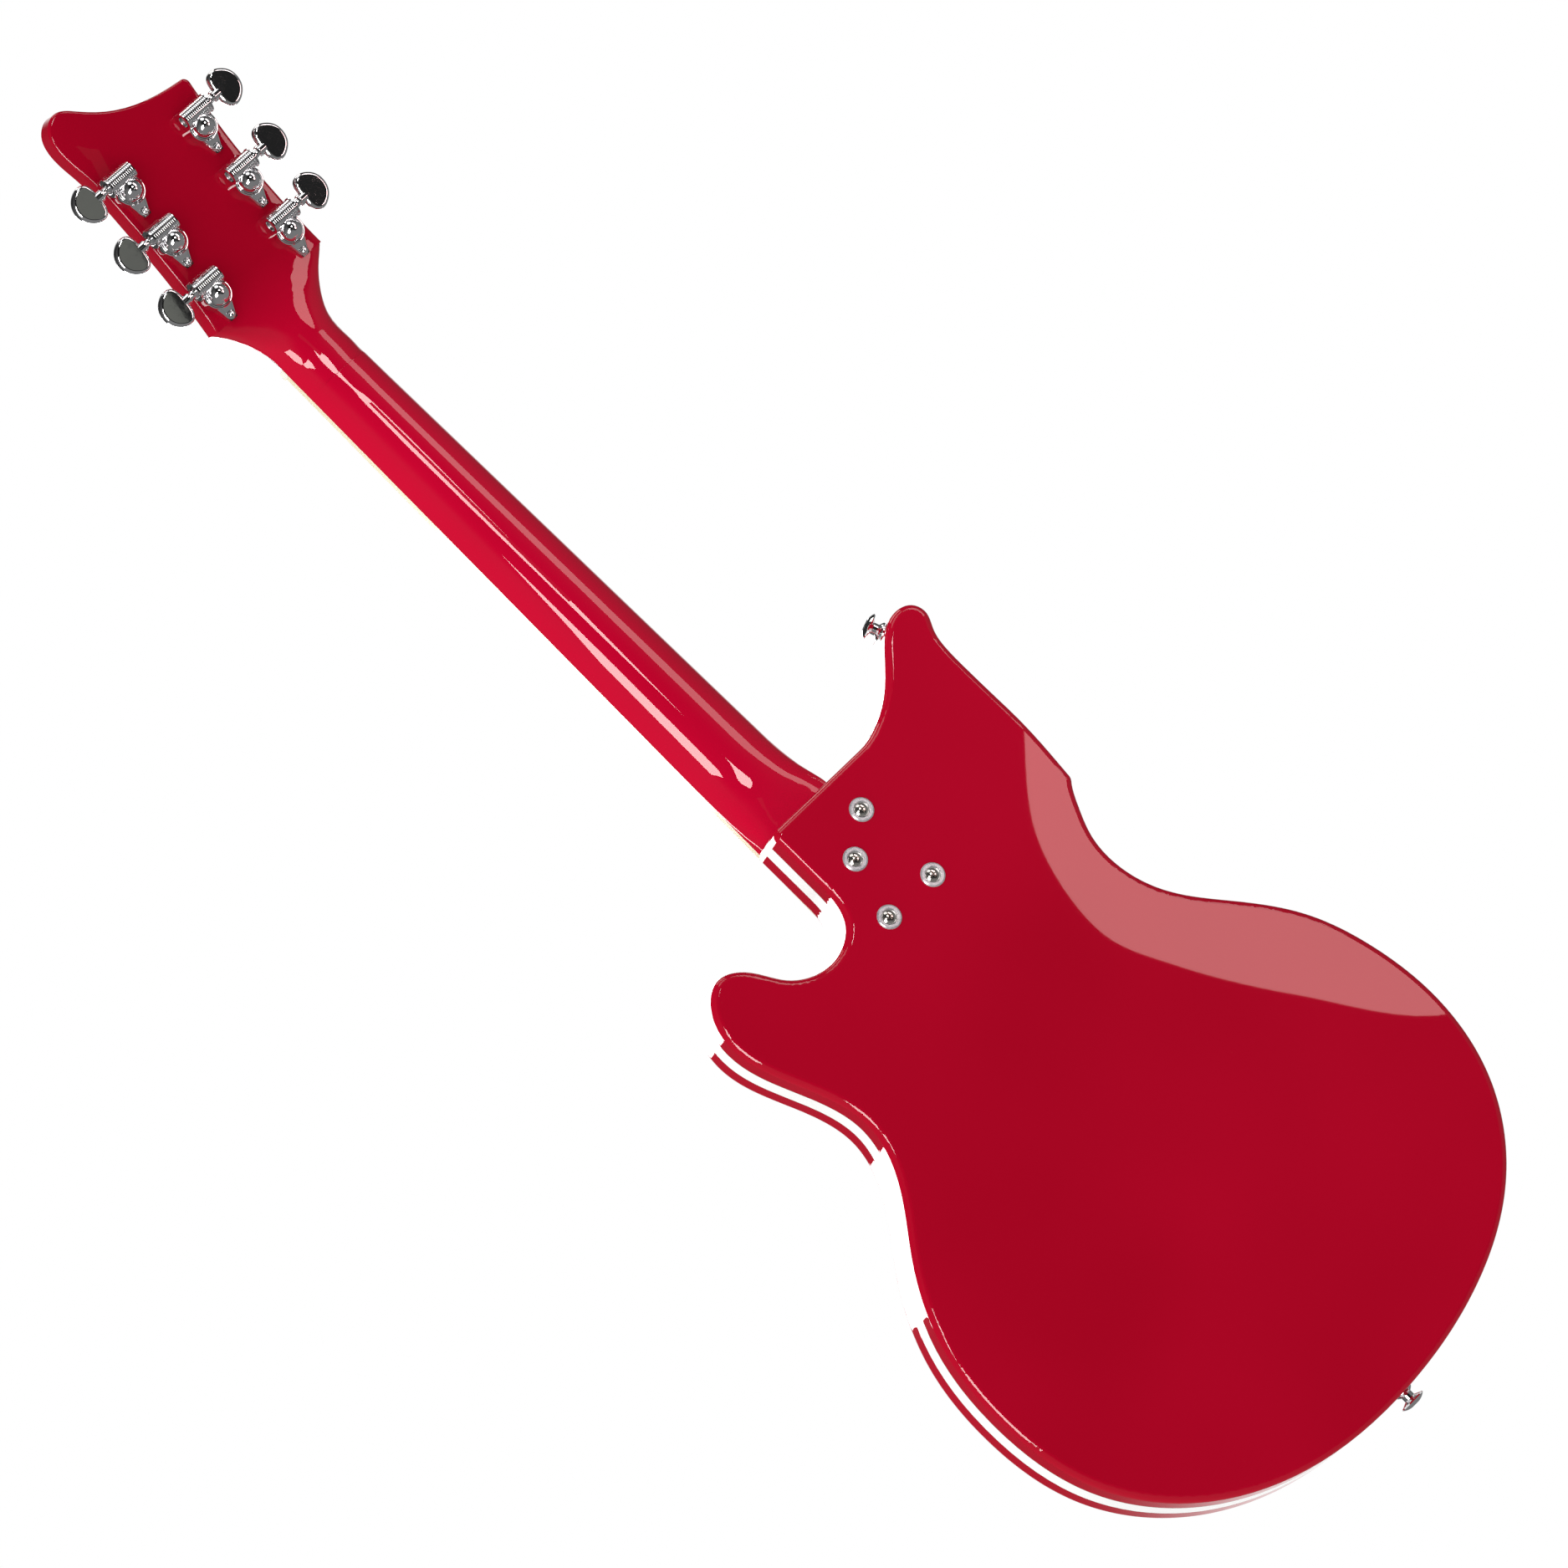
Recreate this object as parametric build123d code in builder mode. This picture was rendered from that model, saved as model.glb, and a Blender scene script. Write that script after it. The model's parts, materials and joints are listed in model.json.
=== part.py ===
from build123d import *
import os
from math import cos, radians, sin, sqrt

os.makedirs("parts", exist_ok=True)

# The frame, in millimetres: the nut's playing face is z = 0 and the neck runs down to the body
# along -z. The strings face -y, the back faces +y, and +x is the treble side. y = 0 is the
# glue line between the neck and its fingerboard.

# ---- strings and fingerboard
scale_length = 647.7
fret_total = 22
nut_width = 41.5
nut_length = 5.0
nut_height = 8.6
board_length = 471.0
board_end_width = 55.0
board_thickness = 6.0
crown_radius = 305.0
binding_width = 1.6
binding_cut_rise = 2.0
fret_height = 1.1
fret_crown_width = 2.4
tang_width = 0.6
tang_depth = 1.8
marker_radius = 3.2
marker_depth = 1.5
marker_frets = (3, 5, 7, 9, 15, 17, 19, 21)
string_radii = (0.13, 0.17, 0.22, 0.33, 0.46, 0.58)
nut_spread = 35.2
bridge_spread = 52.0
action_at_nut = 0.5
bridge_action = 4.6

# ---- neck and headstock
shaft_depth = 14.2
shaft_deepening = 2.2
heel_flare_length = 49.5
heel_corner_radius = 3.0
head_tilt = 15.0
head_thickness = 14.5
head_edge_round = 1.8
shoulder_height = 40.5
shoulder_half_width = 42.0
truss_slot_width = 6.2
truss_slot_depth = 9.0
truss_slot_margin = 19.0
truss_rod_radius = 2.6
adjuster_radius = 4.2
adjuster_length = 15.0
adjuster_start = 8.0

# ---- body
joint_distance = 379.5
front_face = 7.0
half_thickness = 15.3
band_height = 14.0
edge_round = 4.0
corner_round = 5.0
pocket_gap = 0.15
neck_screw_shares = ((-15.8, 0.271), (7.8, 0.461), (-18.0, 0.855), (18.0, 0.855))
neck_screw_radius = 2.1
neck_screw_length = 44.0
screw_clearance = 0.3
ferrule_radius = 7.2
ferrule_seat_radius = 5.4
ferrule_seat_depth = 4.0
ferrule_rim = 1.0
strap_places = (((-4.7, -841.9), (0, -1)), ((-109.35, -338.3), (0.35, 0.937)))
strap_base_radius = 5.9
strap_button_radius = 8.2
strap_button_waist = 3.5
strap_button_height = 10.0
strap_waist_length = 2.6
strap_screw_radius = 1.9
strap_screw_length = 15.0

# ---- tuners, seen from behind: (distance from the centre line, height up the head)
bass_posts = (57.3, 93.2, 132.8)
treble_posts = (57.3, 95.4, 132.2)
post_inset = 29.0
post_radius = 3.0
post_reach = 17.0
post_gap = 0.1
bushing_radius = 5.0
bushing_flange_radius = 7.0
bushing_flange = 1.8
wheel_radius = 5.3
wheel_thickness = 5.0
drum_radius = 8.6
drum_height = 7.3
dome_radius = 7.0
dome_height = 14.0
barrel_radius = 5.4
barrel_length = 17.6
worm_offset = 8.9
worm_height = 6.9
worm_radius = 3.3
worm_gap = 0.3
worm_shaft_radius = 2.4
tab_reach = 16.8
tab_thickness = 2.2
tab_tip_radius = 2.4
tuner_screw_radius = 1.1
button_reach = 17.6
button_width = 17.0
button_length = 23.6
button_thickness = 6.0
button_edge_round = 2.0

# ---- bridge, tailpiece, pickups and controls
bridge_length = 90.0
bridge_width = 12.0
bridge_height = 9.0
saddle_rise = 3.1
bridge_post_spread = 74.0
bridge_post_radius = 2.5
bridge_post_depth = 13.0
thumbwheel_radius = 7.0
saddle_width = 6.6
tail_distance = 694.0
tail_length = 98.0
tail_width = 14.0
tail_height = 10.5
tail_lift = 2.0
tail_stud_spread = 82.0
tail_stud_radius = 4.0
tail_stem_radius = 3.0
tail_head_radius = 5.6
string_hole_height = 4.4
tail_stud_depth = 14.0
guard_thickness = 2.4
guard_screw_radius = 1.4
guard_screw_length = 14.0
pickup_length = 68.0
pickup_width = 37.0
pickup_gap = 0.3
pickup_lift = 3.2
pickup_depth = 15.0
neck_pickup_gap = 30.0
bridge_pickup_gap = 35.7
pickup_ear_reach = 84.0
pole_radius = 2.3
knob_places = ((112.0, -630.0), (133.0, -676.0))
knob_radius = 10.5
knob_height = 15.0
knob_lift = 2.4
pot_radius = 12.0
pot_depth = 9.0
pot_bushing_radius = 4.4
pot_shaft_radius = 3.0
switch_place = (92.0, -462.0)
switch_bushing_radius = 6.0
switch_bore_radius = 4.0
switch_lever_radius = 1.4
switch_pin_radius = 0.7
jack_place = (130.0, -724.0)
jack_bore_radius = 3.2
jack_radius = 5.6
jack_depth = 20.0

seam_front = front_face + half_thickness
seam_back = seam_front + band_height
back_face = seam_back + half_thickness
guard_face = front_face - guard_thickness
bridge_distance = scale_length
pickup_distances = (board_length + neck_pickup_gap, scale_length - bridge_pickup_gap)
heel_length = board_length - joint_distance
heel_flare_start = joint_distance - heel_flare_length
truss_slot_end = board_length - truss_slot_margin
neck_screw_places = [(x, -share * heel_length) for x, share in neck_screw_shares]
top_aligned = (Align.CENTER, Align.CENTER, Align.MAX)
foot_aligned = (Align.CENTER, Align.CENTER, Align.MIN)


def board_width(z):
    """Width of the neck and fingerboard at height z, which is 0 at the nut and falls to the body."""
    return nut_width - (board_end_width - nut_width) * z / board_length


def fret_height_z(fret):
    """Height of a fret's crown line, by the equal-tempered rule."""
    return -scale_length * (1 - 2 ** (-fret / 12))


def layer(y):
    """A plane parallel to the body's faces, drawn as seen from the front, with z kept as height."""
    return Plane(origin=(0, y, 0), x_dir=(1, 0, 0), z_dir=(0, -1, 0))


def body_layer(y):
    """Like layer, with its origin on the body's top edge at the neck."""
    return Plane(origin=(0, y, -joint_distance), x_dir=(1, 0, 0), z_dir=(0, -1, 0))


head_front = Plane(
    origin=(0, 0, nut_length),
    x_dir=(1, 0, 0),
    z_dir=(0, -cos(radians(head_tilt)), sin(radians(head_tilt))),
)
head_back = Plane(
    origin=head_front.from_local_coords((0, 0, -head_thickness)),
    x_dir=(-1, 0, 0),
    z_dir=-head_front.z_dir,
)


def curve(*points, leaving, arriving):
    """A spline through the points with the directions it leaves and arrives in."""
    return Spline(*points, tangents=(leaving, arriving), tangent_scalars=(1, 1))


# ---------------------------------------------------------------- the body's outline
# Seen from the front, from the middle of the edge that the neck crosses.
with BuildSketch() as body_outline:
    with BuildLine():
        top = Line((32.2, 0), (-42, 0))
        horn = curve(
            top @ 1,
            (-58.5, 3.5),
            (-76, 13),
            (-93, 28.7),
            (-104.5, 38.6),
            (-117, 42.4),
            (-126.5, 38.6),
            (-129.3, 30.5),
            (-125, 20),
            (-122.2, 6),
            (-122, -14),
            leaving=(-1, 0),
            arriving=(0, -1),
        )
        flank = curve(horn @ 1, (-122.4, -52.5), (-119.2, -93.5), leaving=(0, -1), arriving=(0.1, -1))
        bouts = curve(
            flank @ 1,
            (-110.2, -107.4),
            (-103.1, -124),
            (-101.3, -144),
            (-109.8, -172.7),
            (-135.5, -206),
            (-160.7, -240),
            (-175.2, -279.7),
            (-180.1, -322.2),
            (-167.7, -376.9),
            (-132, -421.3),
            (-72, -451.2),
            (0, -462.3),
            (73.5, -454),
            (135.4, -421.1),
            (169, -376.1),
            (180.1, -317),
            (172.8, -264.7),
            (149.6, -220.5),
            (124, -186.5),
            (112.3, -152),
            (122.9, -113.7),
            (136.1, -76),
            (131, -49.5),
            (114, -37.4),
            (98.6, -45.5),
            (86, -63.3),
            (60.8, -74.4),
            (38.4, -64.5),
            (32.2, -40),
            leaving=(0.72, -0.7),
            arriving=(0, 1),
        )
        Line(bouts @ 1, top @ 0)
    make_face()
    fillet(body_outline.vertices().sort_by_distance(top @ 0)[0], corner_round)
    fillet(body_outline.vertices().sort_by_distance(flank @ 1)[0], corner_round)

# The pickguard covers the control cavities on the treble side, because the back has no covers.
with BuildSketch() as guard_outline:
    with BuildLine():
        guard_top = Polyline(
            (-48, -634),
            (-48, -board_length - 3),
            (31, -board_length - 3),
            (41, 15 - board_length),
        )
        curve(
            guard_top @ 1,
            (66, -451),
            (92, -437),
            (114, -432),
            (124, -447),
            (113, -487),
            (102, -530),
            (113, -568),
            (142, -614),
            (162, -668),
            (161, -718),
            (139, -750),
            (113, -742),
            (94, -692),
            (78, -654),
            (52, -634),
            leaving=(0.9, 0.44),
            arriving=(-1, 0),
        )
        Line((52, -634), guard_top @ 0)
    make_face()


guard_screw_places = (
    (-43, -board_length - 7),
    (-43, -556),
    (-43, -629),
    (42, 6 - board_length),
    (118, -438),
    (99, -548),
    (156, -668),
    (140, -744),
    (90, -668),
)


# The heel widens with the board, so its pocket follows the same taper.
def heel_outline(gap):
    """The heel seen from the front, grown by gap on both sides and at its end."""
    top_half = board_width(-joint_distance) / 2 + gap
    end_half = board_end_width / 2 + gap
    with BuildSketch() as heel:
        with BuildLine():
            Polyline(
                (-top_half, -joint_distance),
                (top_half, -joint_distance),
                (end_half, -board_length - gap),
                (-end_half, -board_length - gap),
                close=True,
            )
        make_face()
        fillet(heel.vertices().group_by(Axis.Y)[0], heel_corner_radius)
    return heel.sketch


# ---------------------------------------------------------------- cavities shared by the halves
control_floor = seam_front + 6
switch_floor = seam_front + 11

with BuildPart(mode=Mode.PRIVATE) as wiring_cavities:
    with BuildSketch(layer(control_floor)):
        with BuildLine():
            Spline(
                (94, -632),
                (110, -609),
                (136, -636),
                (150, -680),
                (146, -728),
                (122, -738),
                (108, -690),
                periodic=True,
            )
        make_face()
    extrude(amount=control_floor - front_face)
    with BuildSketch(layer(switch_floor)):
        with Locations(switch_place):
            SlotOverall(52, 22, rotation=70)
    extrude(amount=switch_floor - front_face)

rim_seats = [
    Plane(origin=(x, (seam_front + seam_back) / 2, z), x_dir=(0, 1, 0), z_dir=(side, 0, up))
    for (x, z), (side, up) in strap_places
]

# ---------------------------------------------------------------- the back half
with BuildPart() as body_back:
    with BuildSketch(body_layer(back_face)):
        add(body_outline.sketch)
    extrude(amount=half_thickness)
    fillet(body_back.faces().sort_by(Axis.Y)[-1].edges(), edge_round)
    with BuildSketch(body_layer(back_face)):
        with Locations(*neck_screw_places):
            Circle(ferrule_seat_radius)
    extrude(amount=ferrule_seat_depth, mode=Mode.SUBTRACT)
    with BuildSketch(body_layer(back_face)):
        with Locations(*neck_screw_places):
            Circle(neck_screw_radius + screw_clearance)
    extrude(amount=half_thickness, mode=Mode.SUBTRACT)
body_back.part.label = "body_back"
export_step(body_back.part, "parts/body_back.step")

# ---------------------------------------------------------------- the middle layer and its white rim
with BuildPart() as body_middle:
    with BuildSketch(body_layer(seam_back)):
        add(body_outline.sketch)
        with Locations(*neck_screw_places):
            Circle(neck_screw_radius + screw_clearance, mode=Mode.SUBTRACT)
    extrude(amount=band_height)
    add(wiring_cavities.part, mode=Mode.SUBTRACT)
    for seat in rim_seats:
        with BuildSketch(seat):
            Circle(strap_screw_radius)
        extrude(amount=-strap_screw_length, mode=Mode.SUBTRACT)
body_middle.part.label = "body_middle"
export_step(body_middle.part, "parts/body_middle.step")

# ---------------------------------------------------------------- the front half
with BuildPart() as body_front:
    with BuildSketch(body_layer(seam_front)):
        add(body_outline.sketch)
    extrude(amount=half_thickness)
    fillet(body_front.faces().sort_by(Axis.Y)[0].edges(), edge_round)
    with BuildSketch(layer(seam_front)):
        add(heel_outline(pocket_gap))
        with Locations((0, -joint_distance)):
            Rectangle(board_width(-joint_distance) + 2 * pocket_gap, 2, align=(Align.CENTER, Align.MIN))
    extrude(amount=half_thickness, mode=Mode.SUBTRACT)
    add(wiring_cavities.part, mode=Mode.SUBTRACT)
    with BuildSketch(layer(seam_front)):
        with Locations(*[(0, -distance) for distance in pickup_distances]):
            Rectangle(pickup_ear_reach + 4, pickup_width + 4)
    extrude(amount=half_thickness, mode=Mode.SUBTRACT)
    with BuildSketch(layer(front_face + bridge_post_depth)):
        with Locations((0, -bridge_distance)):
            with GridLocations(bridge_post_spread, 1, 2, 1):
                Circle(bridge_post_radius)
    extrude(amount=bridge_post_depth, mode=Mode.SUBTRACT)
    with BuildSketch(layer(front_face + tail_stud_depth)):
        with Locations((0, -tail_distance)):
            with GridLocations(tail_stud_spread, 1, 2, 1):
                Circle(tail_stud_radius)
    extrude(amount=tail_stud_depth, mode=Mode.SUBTRACT)
    with BuildSketch(layer(guard_face + guard_screw_length)):
        with Locations(*guard_screw_places):
            Circle(guard_screw_radius)
    extrude(amount=guard_screw_length, mode=Mode.SUBTRACT)
body_front.part.label = "body_front"
export_step(body_front.part, "parts/body_front.step")


# ---------------------------------------------------------------- neck
def shaft_section(plane, width, depth, squareness):
    """Flat-topped neck section: a super-ellipse behind the glue line, squarer as the number grows."""
    power = 2 / squareness
    back = []
    for angle in (0, 4, 15, 30, 45, 60, 75, 86, 90, 94, 105, 120, 135, 150, 165, 176, 180):
        side = cos(radians(angle))
        back.append(
            (
                width / 2 * abs(side) ** power * (1 if angle < 90 else -1 if angle > 90 else 0),
                depth * abs(sin(radians(angle))) ** power if 0 < angle < 180 else 0,
            )
        )
    with BuildSketch(plane) as section:
        with BuildLine():
            arch = curve(*back, leaving=(0, 1), arriving=(0, -1))
            Line(arch @ 1, arch @ 0)
        make_face()
    return section.sketch


def head_section(height, half_width, depth, squareness):
    """A section across the headstock's root, square to the tilted head at this height up it."""
    across = Plane(
        origin=head_front.from_local_coords((0, height, 0)), x_dir=(1, 0, 0), z_dir=head_front.y_dir
    )
    return shaft_section(across, 2 * half_width, depth, squareness)


def neck_section(z, depth, squareness):
    return shaft_section(Plane.XY.offset(z), board_width(z), depth, squareness)


heel_depth = seam_front
tuner_posts = [(-post_inset, height) for height in bass_posts]
tuner_posts += [(post_inset, height) for height in treble_posts]

with BuildSketch() as head_outline:
    with BuildLine():
        treble_edge = curve(
            (shoulder_half_width, shoulder_height),
            (39.6, 84),
            (39.6, 118),
            (42.2, 155),
            (44.5, 178),
            (41.2, 186.5),
            (32, 191.5),
            (20, 184.2),
            (4, 172.2),
            (-16, 164.2),
            (-43.2, 160),
            leaving=(-0.1, 1),
            arriving=(-1, -0.08),
        )
        bass_edge = curve(
            treble_edge @ 1,
            (-39.6, 118),
            (-39.6, 84),
            (-shoulder_half_width, shoulder_height),
            leaving=(0.1, -1),
            arriving=(-0.1, -1),
        )
        Line(bass_edge @ 1, treble_edge @ 0)
    make_face()
    fillet(head_outline.vertices().sort_by_distance(treble_edge @ 1)[0], 4)

with BuildPart(mode=Mode.PRIVATE) as head_plate:
    with BuildSketch(head_front.offset(-head_thickness)):
        add(head_outline.sketch)
    extrude(amount=head_thickness)
    back_face_of_head = head_plate.faces().sort_by(Axis(head_back.origin, head_back.z_dir))[-1]
    fillet(back_face_of_head.edges().sort_by(Axis.Z)[1:], head_edge_round)

full_depth = shaft_depth + shaft_deepening
flare_step = (joint_distance - heel_flare_start) / 4
with BuildPart() as neck:
    loft([neck_section(-heel_flare_start, full_depth, 2.4), neck_section(-20, shaft_depth, 2.3)])
    loft(
        [
            neck_section(-heel_flare_start, full_depth, 2.4),
            neck_section(-heel_flare_start - flare_step, full_depth + 0.2, 2.6),
            neck_section(-heel_flare_start - 2 * flare_step, full_depth + 1.3, 3.4),
            neck_section(-heel_flare_start - 3 * flare_step, full_depth + 3.9, 6),
            neck_section(-joint_distance, heel_depth, 12),
        ]
    )
    loft(
        [
            neck_section(-20, shaft_depth, 2.3),
            neck_section(-12, shaft_depth, 2.3),
            neck_section(-4, shaft_depth, 2.4),
            head_section(4, 20.9, shaft_depth, 2.6),
            head_section(12, 22.6, shaft_depth + 0.1, 2.9),
            head_section(20, 26.2, head_thickness, 3.6),
            head_section(27, 30.4, head_thickness, 5),
            head_section(34, 36, head_thickness, 8),
            head_section(shoulder_height, shoulder_half_width, head_thickness, 12),
        ]
    )
    with BuildSketch(layer(heel_depth)):
        add(heel_outline(0))
    extrude(amount=heel_depth)
    add(head_plate.part)
    with BuildSketch(head_front.offset(-head_thickness)):
        with Locations(*tuner_posts):
            Circle(bushing_radius)
    extrude(amount=head_thickness, mode=Mode.SUBTRACT)
    with BuildSketch(layer(truss_slot_depth)):
        with Locations((0, -truss_slot_end)):
            Rectangle(truss_slot_width, truss_slot_end + 45, align=(Align.CENTER, Align.MIN))
        with Locations((0, nut_length)):
            Rectangle(2 * adjuster_radius + 1.2, 35, align=(Align.CENTER, Align.MIN))
    extrude(amount=truss_slot_depth, mode=Mode.SUBTRACT)
    with BuildSketch(body_layer(heel_depth)):
        with Locations(*neck_screw_places):
            Circle(neck_screw_radius)
    extrude(amount=neck_screw_length - (back_face - seam_front), mode=Mode.SUBTRACT)
    with BuildSketch(head_back):
        with Locations(*[(-x, height - tab_reach + tab_tip_radius) for x, height in tuner_posts]):
            Circle(tuner_screw_radius)
    extrude(amount=-10, mode=Mode.SUBTRACT)
    with BuildSketch(Plane.XY.offset(-board_length)):
        Rectangle(2 * nut_width, 2 * nut_width, align=(Align.CENTER, Align.MAX))
    extrude(amount=board_length + nut_length, mode=Mode.SUBTRACT)
neck.part.label = "neck"
export_step(neck.part, "parts/neck.step")

# ---------------------------------------------------------------- fingerboard
def board_section(z, trim, rise):
    """The fingerboard's section, trim narrower at each side and rise higher at its crowned face."""
    half = board_width(z) / 2 - trim
    crown = crown_radius + rise
    drop = crown - sqrt(crown**2 - half**2)
    with BuildSketch(Plane.XY.offset(z)) as section:
        with BuildLine():
            ends = Polyline(
                (-half, drop - board_thickness - rise),
                (-half, 0),
                (half, 0),
                (half, drop - board_thickness - rise),
            )
            ThreePointArc(ends @ 0, (0, -board_thickness - rise), ends @ 1)
        make_face()
    return section.sketch


def board_blank(trim, rise, length):
    with BuildPart() as blank:
        loft([board_section(-length, trim, rise), board_section(0, trim, rise)])
    return blank.part


marker_places = [(0, (fret_height_z(n) + fret_height_z(n - 1)) / 2) for n in marker_frets]
octave = (fret_height_z(12) + fret_height_z(11)) / 2
marker_places += [(-9, octave), (9, octave)]
fret_lines = [fret_height_z(n) for n in range(1, fret_total + 1)]
whole_board = board_blank(0, 0, board_length)
board_core = board_blank(binding_width, 0, board_length - binding_width)

with BuildPart(mode=Mode.PRIVATE) as marker_holes:
    with BuildSketch(layer(marker_depth - board_thickness)):
        with Locations(*marker_places):
            Circle(marker_radius)
    extrude(amount=2 * marker_depth)

with BuildPart(mode=Mode.PRIVATE) as tangs:
    for z in fret_lines:
        with Locations((0, tang_depth / 2 - board_thickness, z)):
            Box(board_width(z) - 2 * binding_width - 1, tang_depth, tang_width)

with BuildPart() as fingerboard:
    add(board_core)
    add(marker_holes.part, mode=Mode.SUBTRACT)
    add(tangs.part, mode=Mode.SUBTRACT)
fingerboard.part.label = "fingerboard"
export_step(fingerboard.part, "parts/fingerboard.step")

# What is cut away stands clear of the crowned face, so that no skin of it is left over.
with BuildPart() as fingerboard_binding:
    add(whole_board)
    add(board_blank(binding_width, binding_cut_rise, board_length - binding_width), mode=Mode.SUBTRACT)
fingerboard_binding.part.label = "fingerboard_binding"
export_step(fingerboard_binding.part, "parts/fingerboard_binding.step")

with BuildPart() as position_markers:
    add(board_core)
    add(marker_holes.part, mode=Mode.INTERSECT)
position_markers.part.label = "position_markers"
export_step(position_markers.part, "parts/position_markers.step")

# Each fret is a slice of a taller board: its crown follows the board's radius and bevels at the ends.
with BuildPart() as frets:
    for z in fret_lines:
        with BuildSketch(Plane.XY.offset(z - fret_crown_width / 2)):
            add(board_section(z, 0.2, fret_height))
        extrude(amount=fret_crown_width)
    add(whole_board, mode=Mode.SUBTRACT)
    add(tangs.part)
frets.part.label = "frets"
export_step(frets.part, "parts/frets.step")

# ---------------------------------------------------------------- nut and truss rod
strings_total = len(string_radii)


def string_x(index, spread):
    """Sideways place of a string: index 0 is the thinnest, on the treble side."""
    return spread / 2 - spread * index / (strings_total - 1)


def string_centre(index, spread, crown_y):
    """Centre of a string (x, y) resting on a curve as round as the fingerboard, whose top is at crown_y."""
    x = string_x(index, spread)
    return x, crown_y + x**2 / (2 * crown_radius) - string_radii[index]


nut_rest = -board_thickness - fret_height - action_at_nut
saddle_rest = -board_thickness - bridge_action

with BuildPart() as nut:
    with BuildSketch(Plane.XY):
        Rectangle(nut_width, nut_height, align=(Align.CENTER, Align.MAX))
    extrude(amount=nut_length)
    fillet(nut.edges().filter_by(Axis.X).sort_by(Axis.Y)[0:2], 1.2)
    for index, radius in enumerate(string_radii):
        with BuildSketch(Plane.XY):
            with Locations(string_centre(index, nut_spread, nut_rest)):
                Circle(radius)
                Rectangle(2 * radius, nut_height, align=(Align.CENTER, Align.MAX))
        extrude(amount=nut_length, mode=Mode.SUBTRACT)
nut.part.label = "nut"
export_step(nut.part, "parts/nut.step")

with BuildPart() as truss_rod:
    with Locations((0, truss_slot_depth / 2, -truss_slot_end + 8)):
        Box(truss_slot_width - 0.2, truss_slot_depth - 0.4, 12)
    with BuildSketch(Plane.XY.offset(-truss_slot_end + 8)):
        with Locations((0, truss_slot_depth / 2)):
            Circle(truss_rod_radius)
    extrude(amount=truss_slot_end - 8 + adjuster_start)
    with BuildSketch(Plane.XY.offset(adjuster_start)):
        with Locations((0, truss_slot_depth / 2)):
            RegularPolygon(adjuster_radius, 6)
            RegularPolygon(adjuster_radius / 2, 6, mode=Mode.SUBTRACT)
    extrude(amount=adjuster_length)
truss_rod.part.label = "truss_rod"
export_step(truss_rod.part, "parts/truss_rod.step")

# ---------------------------------------------------------------- neck screws in their dished ferrules
ferrule_top = back_face + ferrule_rim
screw_head_radius = ferrule_seat_radius - 1.1

with BuildPart(mode=Mode.PRIVATE) as one_ferrule:
    with BuildSketch(Plane.XZ):
        with BuildLine():
            Polyline(
                (neck_screw_radius + screw_clearance / 2, -ferrule_seat_depth),
                (ferrule_seat_radius, -ferrule_seat_depth),
                (ferrule_seat_radius, 0),
                (ferrule_radius, 0),
                (ferrule_radius - 0.2, 0.5),
                (ferrule_radius - 0.9, ferrule_rim),
                (screw_head_radius + 0.6, ferrule_rim),
                (screw_head_radius + 0.1, ferrule_rim - 0.9),
                (neck_screw_radius + screw_clearance / 2, ferrule_rim - 0.9 - 2.4),
                close=True,
            )
        make_face()
    revolve(axis=Axis.Z)

with BuildPart(mode=Mode.PRIVATE) as one_neck_screw:
    with BuildSketch(Plane.XZ):
        with BuildLine():
            rim = Polyline(
                (0, -neck_screw_length),
                (neck_screw_radius - 1.2, -neck_screw_length),
                (neck_screw_radius, -neck_screw_length + 4),
                (neck_screw_radius, ferrule_rim - 0.9 - 2.3),
                (screw_head_radius, ferrule_rim - 0.9),
            )
            crown = ferrule_rim + 0.5
            dome = ThreePointArc(rim @ 1, (screw_head_radius * 0.6, crown - 0.4), (0, crown))
            Line(dome @ 1, rim @ 0)
        make_face()
    revolve(axis=Axis.Z)
    with BuildSketch(Plane.XY.offset(ferrule_rim - 1.4)):
        Rectangle(4.2, 0.9)
        Rectangle(0.9, 4.2)
    extrude(amount=3, mode=Mode.SUBTRACT)


def on_the_back(shape, places):
    """Copies of a shape drawn upright, set on the back face with its axis pointing out."""
    origins = [(x, back_face, z - joint_distance) for x, z in places]
    seats = [Plane(origin=origin, x_dir=(-1, 0, 0), z_dir=(0, 1, 0)) for origin in origins]
    return [seat.location * shape for seat in seats]


with BuildPart() as neck_screw_ferrules:
    add(on_the_back(one_ferrule.part, neck_screw_places))
neck_screw_ferrules.part.label = "neck_screw_ferrules"
export_step(neck_screw_ferrules.part, "parts/neck_screw_ferrules.step")

with BuildPart() as neck_screws:
    add(on_the_back(one_neck_screw.part, neck_screw_places))
neck_screws.part.label = "neck_screws"
export_step(neck_screws.part, "parts/neck_screws.step")

# ---------------------------------------------------------------- tuners
# A tuner is drawn once, standing on the headstock's back: its post on the z axis, its worm
# running along x towards the button, and +y up the head.
barrel_inner = 0.9 - barrel_length / 2
barrel_outer = barrel_inner + barrel_length
wheel_floor = worm_height - wheel_thickness / 2
worm_line = Plane(origin=(0, worm_offset, worm_height), x_dir=(0, 1, 0), z_dir=(1, 0, 0))

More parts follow.
